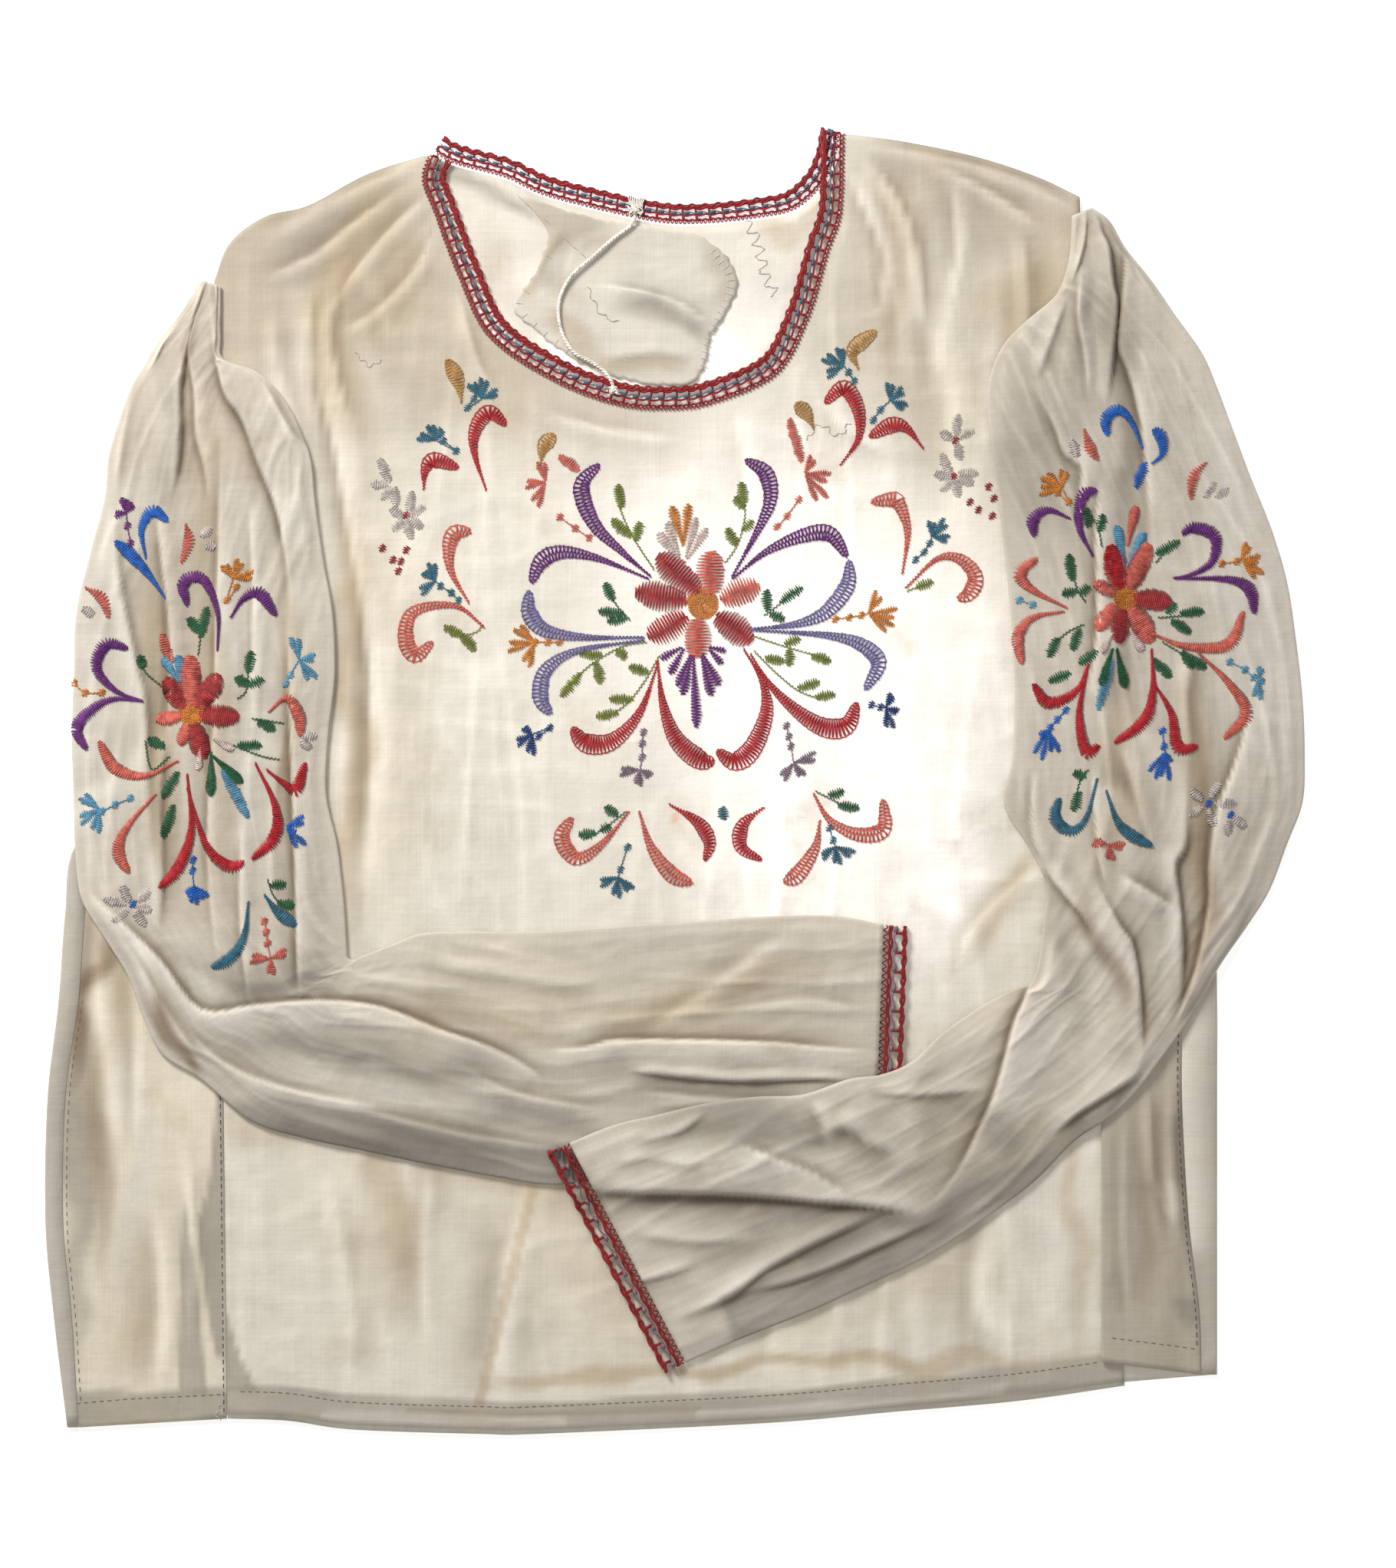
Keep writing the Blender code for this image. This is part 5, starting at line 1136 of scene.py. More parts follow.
class Cloth:
    """The front, the back, the side panels, the patch and the sleeves, as thin walls."""

    def __init__(self, context):
        sizes = context.scene.blouse_cloth
        self.wall = sizes.wall
        self.cell = sizes.cell / MM
        self.crease = sizes.crease
        self.valley = sizes.valley
        self.fold_shadow_strength = sizes.fold_shadow_strength

    def piece(self, name, node, grid, base, shades, folds, weave, material, cut, slot="body_cotton"):
        points = grid.reshape(-1, 3)
        x, y = points[:, 0], points[:, 1]
        # Painted shade in hollows and painted highlights on crests
        tones = paint(x, y, base, shades) * self.painted_relief_shading(grid[..., 2])
        # Painted shade at the foot of each fold's steep side, tinted towards tan
        laps = fold_shadow(x, y, folds)[:, None]
        tones *= 1 - self.fold_shadow_strength * laps * np.array([0.90, 1.0, 1.12])
        faces = grid_faces(*grid.shape[:2])
        piece = cloth_piece(name, points, faces, tones, weave.reshape(-1, 2), material, self.wall)
        return lay_sheet(piece, node)

    def painted_relief_shading(self, z):
        """Painted shade darkens the cloth in a hollow, and a painted highlight brightens it on a crest."""
        depth = 0.6 * hollows(z, 6) + 0.4 * hollows(z, 30)
        shade = np.clip(1 - self.valley * depth, 0.45, 1.2).reshape(-1, 1)
        return shade ** np.array([0.94, 1.0, 1.12])

    def front(self, material):
        rows = int(FRONT_LENGTH / self.cell)
        columns = int(FRONT_WIDTH / self.cell)
        top = top_edge(FRONT_NECK, columns)
        hem = at_shares(smooth_line(HEM, 120), edge_shares(top))
        share = np.linspace(0, 1, rows)[:, None, None]
        flat = hem + share * (top - hem)
        x, y = flat[..., 0], flat[..., 1]
        edges = smoothstep(0, 0.05, share[..., 0]) * smoothstep(0, 0.05, 1 - share[..., 0])
        creases = 0.9 * wrinkles(x, y, 24, 80, 11) + 0.5 * wrinkles(y, x, 22, 46, 21)
        calm = 1 - 0.75 * smoothstep(100, 60, np.hypot(x - 12, y - 60))
        z = FRONT_LAYER + fold_height(x, y, FRONT_FOLDS, self.crease) + edges * calm * creases
        grid = np.dstack([x, y, z])
        return self.piece(
            "front_cloth", "front", grid, "cream", FRONT_SHADES, FRONT_FOLDS, flat, material, FRONT_CUT)

    def back(self, material):
        columns = 96
        top = top_edge(BACK_NECK, columns)
        shares = edge_shares(top)
        left, right = side_lines(-1, 60), side_lines(1, 60)
        hem_line = np.vstack([
            [left[-1, 1], left[-1, 0]], smooth_line(HEM, 120) + [0, BACK_HEM_INSET],
            [right[-1, 1], right[-1, 0]],
        ])
        hem = at_shares(hem_line, shares)
        level_y = UNDERARM_Y + 2
        level_left, level_right = armhole_x(level_y, -1), armhole_x(level_y, 1)
        level_x = level_left + shares * (level_right - level_left)
        level = np.column_stack([level_x, np.full(columns, level_y)])
        down = np.linspace(1, 0, 50)[:, None, None]
        upper = level + down * (top - level)
        depth = (UNDERARM_Y - left[:, 0]) / (UNDERARM_Y - left[-1, 0])
        start = left[:, 1] + EDGE_TURN
        stop = right[:, 1] - EDGE_TURN
        x = start[:, None] + shares * (stop - start)[:, None]
        y = UNDERARM_Y + depth[:, None] * (hem[:, 1] - UNDERARM_Y)
        flat = np.vstack([upper, np.dstack([x, y])])
        z = FLOOR_LAYER + fold_height(flat[..., 0], flat[..., 1], BACK_FOLDS, self.crease)
        z += 0.3 * wrinkles(flat[..., 0], flat[..., 1], 12, 30, 31)
        grid = np.dstack([flat, z])
        points = grid.reshape(-1, 3)
        faces = grid_faces(*grid.shape[:2])
        weave = flat.reshape(-1, 2)
        for sign, lines, column in ((-1, left, 0), (1, right, columns - 1)):
            edge_points = grid[50:, column]
            lip = []
            for turn in np.linspace(0, math.pi, 7)[1:]:
                out = lines[:, 1] - sign * EDGE_TURN * (1 - math.sin(turn))
                height = FLOOR_LAYER + LAYER * (1 - math.cos(turn)) / 2
                lip.append(np.column_stack([out, lines[:, 0], np.full(60, height)]))
            seam = lines[:, 2] + sign * SEAM_GAP / 2
            lip.append(np.column_stack([seam, lines[:, 0], np.full(60, FRONT_LAYER)]))
            strip = np.stack([edge_points, *lip], axis=1)[1:]
            if sign < 0:
                strip = strip[:, ::-1]
            faces = np.vstack([faces, grid_faces(*strip.shape[:2], first=len(points))])
            points = np.vstack([points, strip.reshape(-1, 3)])
            weave = np.vstack([weave, strip.reshape(-1, 3)[:, :2]])
        tones = paint(points[:, 0], points[:, 1], "linen", BACK_SHADES)
        piece = cloth_piece("back_cloth", points, faces, tones, weave, material, self.wall)
        return lay_sheet(piece, "back")

    def left_side(self, material):
        rows = smooth_line([(row.y, row.edge, row.seam) for row in LEFT_SIDE], 120)[26:]
        top_y = UNDERARM_Y - GORE_TOP_DROP
        count = len(rows)
        y_front = top_y + np.linspace(0, 1, count) * (HEM[0].y - top_y)
        x_seam = rows[:, 2] + SEAM_GAP / 2
        x_front = armhole_x(y_front, -1) - SEAM_GAP
        across = np.linspace(0, 1, 34)
        x = x_seam[:, None] + across * (x_front - x_seam)[:, None]
        y = rows[:, 0][:, None] + across * (y_front - rows[:, 0])[:, None]
        edges = smoothstep(0, 0.12, across) * smoothstep(0, 0.12, 1 - across)
        creases = 0.6 * wrinkles(x, y, 12, 60, 41)
        z = FRONT_LAYER + edges * (fold_height(x, y, LEFT_SIDE_FOLDS, self.crease) + creases)
        grid = np.dstack([x, y, z])
        return self.piece(
            "left_side_cloth", "left_side_panel", grid, "warm", LEFT_SIDE_SHADES, LEFT_SIDE_FOLDS,
            grid[..., :2], material, LEFT_SIDE_CUT)

    def right_side(self, material):
        rows = smooth_line([(row.y, row.edge, row.seam) for row in RIGHT_SIDE], 110)[24:]
        count = len(rows)
        y_front = np.linspace(PLEAT_TOP_Y, PLEAT_HEM_Y, count)
        x_front = armhole_x(y_front, 1) + SEAM_GAP
        x_seam = rows[:, 2] - SEAM_GAP / 2
        fold_x = np.minimum(PLEAT_FOLD_X, x_front - PLEAT_LEAST_DEPTH)
        surface = PILE.settled(8)
        under = PILE.read(surface, fold_x, y_front) + SEAM_GAP + FLOOR_LAYER
        over = under + LAYER
        settle_x = fold_x + PLEAT_SETTLES
        columns = [np.column_stack([x_front, under]), np.column_stack([fold_x + EDGE_TURN, under])]
        for turn in np.linspace(0, math.pi, 7)[1:-1]:
            out = fold_x + EDGE_TURN * (1 - math.sin(turn))
            columns.append(np.column_stack([out, under + LAYER * (1 - math.cos(turn)) / 2]))
        columns.append(np.column_stack([fold_x + EDGE_TURN, over]))
        fixed = len(columns)
        for share in np.linspace(0, 1, 22)[1:]:
            out = fold_x + EDGE_TURN + share * (x_seam - fold_x - EDGE_TURN)
            settle = smoothstep(0, 1, (out - x_front) / (settle_x + 12 - x_front))
            columns.append(np.column_stack([out, over + settle * (FRONT_LAYER - over)]))
        table = np.stack(columns, axis=1)
        x = table[..., 0]
        y = y_front[:, None] + (x - fold_x[:, None]) / (x_seam - fold_x)[:, None] * (
            rows[:, 0] - y_front)[:, None]
        lift = fold_height(x, y, RIGHT_SIDE_FOLDS, self.crease) + 0.5 * wrinkles(x, y, 9, 50, 51)
        lift[:, :fixed] = 0
        lift *= 1 - smoothstep(-8, 0, x - x_seam[:, None])
        grid = np.dstack([x, y, table[..., 1] + lift])
        return self.piece(
            "right_side_cloth", "right_side_panel", grid, "dusk", RIGHT_SIDE_SHADES, RIGHT_SIDE_FOLDS,
            grid[..., :2], material, RIGHT_SIDE_CUT)

    def patch(self, material):
        outline = smooth_line([*PATCH_OUTLINE, PATCH_OUTLINE[0]], 121)[:-1]
        ragged = 0.5 * np.sin(np.arange(120) * 2.7) + 0.35 * np.sin(np.arange(120) * 5.3 + 1)
        middle = outline.mean(axis=0)
        out = outline - middle
        outline = outline + out / np.linalg.norm(out, axis=1)[:, None] * ragged[:, None]
        share = np.linspace(0, 1, 26)[:, None, None]
        flat = middle + share * (np.vstack([outline, outline[:1]]) - middle)
        lift = fold_height(flat[..., 0], flat[..., 1], PATCH_FOLDS, self.crease)
        lift += 0.4 * wrinkles(flat[..., 1], flat[..., 0], 12, 30, 61)
        grid = np.dstack([flat, FRONT_LAYER - 0.35 + lift * smoothstep(0, 0.15, 1 - share[..., 0])])
        points = np.vstack([grid[0, :1], grid[1:, :-1].reshape(-1, 3)])
        rings = 1 + np.arange(25 * 120).reshape(25, 120)
        after = np.roll(rings, -1, axis=1)
        faces = [(0, int(a), int(b)) for a, b in zip(rings[0], after[0])]
        for row in range(24):
            for step in range(120):
                faces.append((
                    int(rings[row, step]), int(rings[row + 1, step]), int(after[row + 1, step]),
                    int(after[row, step]),
                ))
        tones = paint(points[:, 0], points[:, 1], "linen", PATCH_SHADES)
        # Painted shade at the foot of each fold's steep side
        tones *= 1 - self.fold_shadow_strength * fold_shadow(points[:, 0], points[:, 1], PATCH_FOLDS)[:, None]
        mesh = bpy.data.meshes.new("patch_cloth")
        mesh.from_pydata((points * MM).tolist(), [], faces)
        piece = finish_cloth(mesh, tones, points[:, :2], material, self.wall)
        return lay_sheet(piece, "back_neck_patch")

    def sleeve(self, name, node, rings, folds, shades, sign, open_rings, material):
        """A flattened tube; down to the underarm it is sewn to the body along a slit underneath."""
        steps = 9
        table = soft_rows(rings, steps)
        count = len(table)
        outer, inner = table[:, 0:2], table[:, 2:4]
        across = inner - outer
        width = np.linalg.norm(across, axis=1)
        inset = np.minimum(EDGE_INSET / width, 0.12)
        middle_y = (outer[:, 1] + inner[:, 1]) / 2
        is_open = np.arange(count) < open_rings * steps
        seam = (armhole_x(middle_y, sign) - outer[:, 0]) / across[:, 0]
        seam = np.where(middle_y > UNDERARM_Y, np.clip(seam, 0.3, 0.9), 0.5)
        blend = smoothstep(0, 12, np.arange(count) - (open_rings - 1) * steps)
        seam = np.where(is_open | (middle_y > UNDERARM_Y), seam, seam * (1 - blend) + 0.5 * blend)
        stop = seam - SEAM_CLEARANCE / width
        start = np.where(is_open, seam + SEAM_LAP / width, stop + 0.002)
        run = run_along((outer + inner) / 2)
        below = PILE.settled(7)
        above_pile = PILE.settled(9)

        def lower(share, is_outside=False):
            x, y = (outer + share[:, None] * across).T
            rest = PILE.read(below, x, y)
            z = np.maximum(FLOOR_LAYER, rest + SEAM_GAP + FLOOR_LAYER)
            z = FLOOR_LAYER + (z - FLOOR_LAYER) * smoothstep(0, 0.8, rest)
            if is_outside:
                z = np.where(is_open, FLOOR_LAYER, z)
            return np.column_stack([x, y, z])

        def upper(share):
            x, y = (outer + share[:, None] * across).T
            rest = PILE.read(above_pile, x, y)
            inside = smoothstep(inset, inset + 0.06, share) * smoothstep(inset, inset + 0.06, 1 - share)
            creases = 1.3 * wrinkles(share * width, run, 12, 90, 71)
            creases += 0.5 * wrinkles(run, share * width, 16, 26, 81)
            creases += 0.45 * wrinkles(share * width, run, 6, 50, 91)
            lift = (fold_height(x, y, folds, self.crease) + creases) * inside
            crown = table[:, 4] * np.sin(math.pi * share) ** 0.6
            return np.column_stack([x, y, rest + SEAM_GAP + FLOOR_LAYER + LAYER + crown + lift])

        ones = np.ones(count)
        line = [lower(start + s * (1 - inset - start)) for s in np.linspace(0, 1, 10)]
        first_upper = upper(1 - inset)
        line += self.turn(line[-1], first_upper, inner)
        line += [upper(1 - inset - s * (1 - 2 * inset)) for s in np.linspace(0, 1, 92)]
        last_upper = line[-1]
        first_outside = lower(inset * ones, True)
        line += self.turn(last_upper, first_outside, outer)
        line += [lower(inset + s * (stop - inset), True) for s in np.linspace(0, 1, 10)]
        grid = np.stack(line, axis=1)
        turn = np.linalg.norm(np.diff(grid, axis=1), axis=2).cumsum(axis=1)
        across_cloth = np.hstack([np.zeros((count, 1)), turn])
        across_cloth -= across_cloth[:, grid.shape[1] // 2, None]
        weave = np.dstack([across_cloth, np.repeat(run[:, None], grid.shape[1], 1)])
        cut = (float(turn[:, -1].max()) + SLEEVE_SEAM, float(run[-1]) + SLEEVE_TURNINGS)
        # The darker taupe base is painted shade: the same cotton as the body, darker where layers lie on one
        # another
        return self.piece(
            name, node, grid, "taupe", shades, folds, weave, material, cut, "sleeve_cotton")

    @staticmethod
    def turn(before, after, edge):
        """Points round a folded edge, between the last point of one wall and the first of the next."""
        points = []
        for angle in np.linspace(0, math.pi, 6)[1:-1]:
            share = (1 - math.cos(angle)) / 2
            base = before + share * (after - before)
            out = edge - base[:, :2]
            bulge = math.sin(angle)
            points.append(np.column_stack([base[:, :2] + bulge * out, base[:, 2]]))
        return points


def node_group(sort, name, inputs, outputs):
    """An empty node group, what its inputs give, and its end node.

    An input is named with its default value, or with its type where it has none.
    """
    tree = bpy.data.node_groups.new(name, f"{sort}NodeTree")
    for label, value in inputs.items():
        kind = value if isinstance(value, str) else "Int" if isinstance(value, int) else "Float"
        socket = tree.interface.new_socket(label, in_out="INPUT", socket_type=f"NodeSocket{kind}")
        if kind != value:
            socket.default_value = value
    for label in outputs:
        kind = "Geometry" if label == "Geometry" else "Float"
        tree.interface.new_socket(label, in_out="OUTPUT", socket_type=f"NodeSocket{kind}")
    return tree, tree.nodes.new("NodeGroupInput").outputs, tree.nodes.new("NodeGroupOutput")


def put(tree, socket, value):
    """Links a socket to another one, or sets its value."""
    if isinstance(value, bpy.types.NodeSocket):
        tree.links.new(value, socket)
    else:
        socket.default_value = value


def vector_math(tree, operation, *values, **more):
    return math_node(tree, operation, *values, kind="ShaderNodeVectorMath", **more)


def sideways(tree):
    """The level direction to the left of a curve, and its tangent."""
    tangent = add_node(tree, "GeometryNodeInputTangent").outputs[0]
    cross = vector_math(tree, "CROSS_PRODUCT", (0, 0, 1), tangent)
    return vector_math(tree, "NORMALIZE", cross), tangent


def thread_tree():
    """A thread that weaves from side to side along a guide, in loops, and lies on the cloth."""
    tree, give, end = node_group("Geometry", "looped_thread", {
        "Geometry": "Geometry", "Cloth": "Object", "Period": 2.2 * MM, "Points": 10, "Loop": 0.12,
        "Width": 1.0, "Offset": 0.0, "Phase": 0.0, "Uneven": 0.3, "Radius": 0.26 * MM, "Sides": 5,
        "Lift": 0.2 * MM, "Seed": 0.0, "Material": "Material",
    }, ["Geometry"])
    even = even_curve(tree, give, math_node(tree, "DIVIDE", give["Period"], give["Points"]))
    length = add_node(tree, "GeometryNodeSplineParameter").outputs["Length"]
    turns = math_node(tree, "DIVIDE", length, give["Period"])
    angle = math_node(tree, "MULTIPLY_ADD", turns, 2 * math.pi, give["Phase"])
    kept = tree.nodes.new("GeometryNodeCaptureAttribute")
    kept.capture_items.new("FLOAT", "Angle")
    fill(tree, kept, Geometry=even, Angle=angle)
    width = add_node(tree, "GeometryNodeInputNamedAttribute", {"data_type": "FLOAT"}, Name="half_width")
    noise = add_node(
        tree, "ShaderNodeTexNoise", {"noise_dimensions": "4D"}, Scale=900.0, Detail=1.0, W=give["Seed"])
    wobble = math_node(tree, "SUBTRACT", noise.outputs["Fac"], 0.5)
    wobble = math_node(tree, "MULTIPLY", wobble, give["Uneven"])
    swing = math_node(tree, "ADD", math_node(tree, "SINE", angle), wobble)
    wide = math_node(tree, "MULTIPLY", width.outputs[0], give["Width"])
    across = math_node(tree, "MULTIPLY_ADD", swing, wide, give["Offset"])
    loop = math_node(tree, "MULTIPLY", give["Loop"], give["Period"])
    along = math_node(
        tree, "MULTIPLY", loop, math_node(tree, "SINE", math_node(tree, "MULTIPLY", angle, 2.0)))
    side, tangent = sideways(tree)
    shift = vector_math(
        tree, "ADD", vector_math(tree, "SCALE", side, Scale=across),
        vector_math(tree, "SCALE", tangent, Scale=along))
    rise = math_node(tree, "MULTIPLY_ADD", math_node(tree, "COSINE", kept.outputs["Angle"]), 0.5, 0.5)
    raised = math_node(
        tree, "MULTIPLY_ADD", give["Radius"], 0.7, math_node(tree, "MULTIPLY", rise, give["Lift"]))
    laid = lay_on_cloth(tree, give, kept.outputs["Geometry"], shift, raised)
    tube = round_tube(tree, laid, give["Sides"], give["Radius"])
    return finish_tree(tree, tube, give["Material"], end)


def bar_tree():
    """Short thick stitches across or along a guide, evenly spaced."""
    tree, give, end = node_group("Geometry", "spaced_stitches", {
        "Geometry": "Geometry", "Cloth": "Object", "Spacing": 6.1 * MM, "Offset": 0.0, "Length": 3.0 * MM,
        "Radius": 0.6 * MM, "Across": 1.0, "Lift": 0.0, "Material": "Material",
    }, ["Geometry"])
    side, tangent = sideways(tree)
    shift = vector_math(tree, "SCALE", side, Scale=give["Offset"])
    laid = lay_on_cloth(tree, give, even_curve(tree, give, give["Spacing"]), shift, give["Lift"])
    left, right = (
        add_node(tree, "ShaderNodeCombineXYZ", X=math_node(tree, "MULTIPLY", give["Length"], share))
        for share in (-0.5, 0.5)
    )
    stitch = add_node(
        tree, "GeometryNodeCurvePrimitiveLine", Start=left.outputs[0], End=right.outputs[0]).outputs[0]
    way = add_node(tree, "ShaderNodeMix", {"data_type": "VECTOR"}, Factor=give["Across"])
    put(tree, way.inputs[4], tangent)
    put(tree, way.inputs[5], side)
    turned = add_node(tree, "FunctionNodeAlignRotationToVector", {"axis": "X"}, Vector=way.outputs[1])
    spread = add_node(
        tree, "GeometryNodeInstanceOnPoints", Points=laid, Rotation=turned.outputs[0],
        Instance=round_tube(tree, stitch, 6, give["Radius"]))
    return finish_tree(tree, spread.outputs[0], give["Material"], end)


def even_curve(tree, give, step):
    """The guide as a curve with even points."""
    line = add_node(tree, "GeometryNodeMeshToCurve", Mesh=give["Geometry"]).outputs[0]
    even = add_node(tree, "GeometryNodeResampleCurve", {"mode": "LENGTH"}, Curve=line, Length=step)
    return even.outputs[0]


def lay_on_cloth(tree, give, curve, shift, raised):
    """The curve moved sideways and laid on the cloth under it, if there is any, this far above it."""
    moved = add_node(tree, "GeometryNodeSetPosition", Geometry=curve, Offset=shift).outputs[0]
    seen = add_node(tree, "GeometryNodeObjectInfo", {"transform_space": "RELATIVE"}, Object=give["Cloth"])
    place = add_node(tree, "GeometryNodeInputPosition").outputs[0]
    ray = add_node(
        tree, "GeometryNodeRaycast", {"data_type": "FLOAT"}, Target_Geometry=seen.outputs["Geometry"],
        Source_Position=vector_math(tree, "ADD", place, (0, 0, 0.02)), Ray_Direction=(0, 0, -1),
        Ray_Length=0.05).outputs
    own = add_node(tree, "ShaderNodeSeparateXYZ", Vector=place).outputs
    hit = add_node(tree, "ShaderNodeSeparateXYZ", Vector=ray["Hit Position"]).outputs
    height = add_node(
        tree, "GeometryNodeSwitch", {"input_type": "FLOAT"}, Switch=ray["Is Hit"],
        **{"False": own["Z"], "True": hit["Z"]}).outputs[0]
    level = math_node(tree, "ADD", height, raised)
    laid = add_node(tree, "ShaderNodeCombineXYZ", X=own["X"], Y=own["Y"], Z=level).outputs[0]
    return add_node(tree, "GeometryNodeSetPosition", Geometry=moved, Position=laid).outputs[0]


def round_tube(tree, curve, sides, radius):
    ring = add_node(
        tree, "GeometryNodeCurvePrimitiveCircle", {"mode": "RADIUS"}, Resolution=sides, Radius=radius)
    return add_node(
        tree, "GeometryNodeCurveToMesh", Curve=curve, Profile_Curve=ring.outputs["Curve"],
        Fill_Caps=True).outputs[0]


def finish_tree(tree, geometry, material, end):
    real = add_node(tree, "GeometryNodeRealizeInstances", Geometry=geometry)
    smooth = add_node(tree, "GeometryNodeSetShadeSmooth", Geometry=real.outputs[0])
    dyed = add_node(tree, "GeometryNodeSetMaterial", Geometry=smooth.outputs[0], Material=material)
    put(tree, end.inputs[0], dyed.outputs[0])
    return tree


def guide(name, strokes):
    """Lines for threads to follow: each stroke is its points and its half widths, in millimetres."""
    points, edges, widths = [], [], []
    for line, half in strokes:
        first = len(points)
        line = np.asarray(line, float)
        if line.shape[1] == 2:
            line = np.column_stack([line, np.zeros(len(line))])
        points.extend((line * MM).tolist())
        widths.extend((np.broadcast_to(half, len(line)) * MM).tolist())
        edges.extend((first + k, first + k + 1) for k in range(len(line) - 1))
    mesh = bpy.data.meshes.new(name)
    mesh.from_pydata(points, edges, [])
    layer = mesh.attributes.new("half_width", "FLOAT", "POINT")
    layer.data.foreach_set("value", np.array(widths, np.float32))
    return add_object(name, mesh)


def grow(name, tree, strokes, **inputs):
    """Runs a tree on a guide and keeps the result as a plain mesh."""
    holder = guide(f"{name}_guide", strokes)
    modifier = holder.modifiers.new("threads", "NODES")
    modifier.node_group = tree
    for item in tree.interface.items_tree:
        if item.name in inputs and item.in_out == "INPUT":
            value = inputs[item.name]
            is_float = item.socket_type == "NodeSocketFloat"
            modifier[item.identifier] = float(value) if is_float else value
    graph = bpy.context.evaluated_depsgraph_get()
    mesh = bpy.data.meshes.new_from_object(
        holder.evaluated_get(graph), preserve_all_data_layers=False, depsgraph=graph)
    mesh.name = name
    holder.modifiers.remove(modifier)
    bpy.data.objects.remove(holder)
    if len(mesh.polygons) == 0:
        raise RuntimeError(f"{name}: the tree made nothing")
    return add_object(name, mesh)


def smooth_piece(name, points, faces, materials, slots=0):
    """A piece with soft shading, from points in metres."""
    mesh = bpy.data.meshes.new(name)
    mesh.from_pydata(points, [], faces)
    for material in materials:
        mesh.materials.append(material)
    mesh.polygons.foreach_set("material_index", np.broadcast_to(slots, len(faces)).tolist())
    mesh.shade_smooth()
    return add_object(name, mesh)


def joined(name, parts):
    """Several plain meshes as one piece, each with its own material."""
    points, faces, slots, materials = [], [], [], []
    for part in parts:
        mesh = part.data
        first = len(points)
        material = next(slot for slot in mesh.materials if slot)
        if material not in materials:
            materials.append(material)
        corners = np.empty(len(mesh.vertices) * 3)
        mesh.vertices.foreach_get("co", corners)
        points.extend(corners.reshape(-1, 3).tolist())
        faces.extend([first + index for index in polygon.vertices] for polygon in mesh.polygons)
        slots.extend([materials.index(material)] * len(mesh.polygons))
        bpy.data.objects.remove(part)
    return smooth_piece(name, points, faces, materials, slots)


def yarn_group():
    """Plies of a twisted thread, and the unevenness of its dye."""
    tree, give, end = node_group(
        "Shader", "yarn", {"Vector": "Vector", "Plies a metre": 2600.0}, ("Height", "Dye"))
    wave = add_node(
        tree, "ShaderNodeTexWave", {"bands_direction": "DIAGONAL"}, Distortion=3.0, Detail=1.0,
        Vector=give["Vector"], Scale=give["Plies a metre"])
    fill(tree, end, Height=wave.outputs["Fac"], Dye=noise_node(tree, give["Vector"], 420.0, 2.0, 0.6))
    return tree


def thread_material(colour, sheen=0.1, roughness=0.6, plies=900.0):
    """Stranded thread in one of the blouse's colours, soft and slightly glossy."""
    name = f"{colour}_thread"
    if name in bpy.data.materials:
        return bpy.data.materials[name]
    material, tree, shader = new_material(
        name, Roughness=roughness, Specular_IOR_Level=0.35, Sheen_Weight=sheen)
    place = add_node(tree, "ShaderNodeTexCoord").outputs["Object"]
    yarn = place_group(tree, "yarn", yarn_group, Vector=place, Plies_a_metre=plies)
    ramp = add_node(tree, "ShaderNodeValToRGB", Fac=yarn["Dye"])
    base = np.array(linear(THREADS[colour]))
    dark, light = ramp.color_ramp.elements
    dark.position = 0.3
    dark.color = (*(base * 0.62), 1)
    light.position = 0.72
    light.color = (*np.minimum(base * 1.15 + 0.01, 1), 1)
    bump = bump_node(tree, yarn["Height"], 0.5, 0.12)
    fill(tree, shader, Base_Color=ramp.outputs["Color"], Normal=bump)
    return material


def swelling(count, start, full, end, peak):
    """Half widths along a stroke: from start to full at the peak, and on to end."""
    share = np.linspace(0, 1, count)
    rise = start + (full - start) * smoothstep(0, peak, share) ** 0.9
    fall = end + (full - end) * np.sqrt(np.clip((1 - share) / (1 - peak), 0, 1))
    return np.where(share < peak, rise, fall)


# Of each drawn-out motif: its half width at the tail, at the widest and at the tip, and where it is widest
SCROLLS = {
    "scroll": (0.35, 3.7, 0.6, 0.72), "satin": (0.35, 3.7, 0.6, 0.72), "broad": (0.35, 4.7, 0.6, 0.72),
    "crescent": (0.4, 3.4, 0.4, 0.5),
}
# How each kind of motif is sewn; the others are sewn densely
SORTS = {
    "scroll": "open", "petal": "plain", "lobe": "plain", "satin": "net", "broad": "net",
    "crescent": "net", "stem": "line",
}


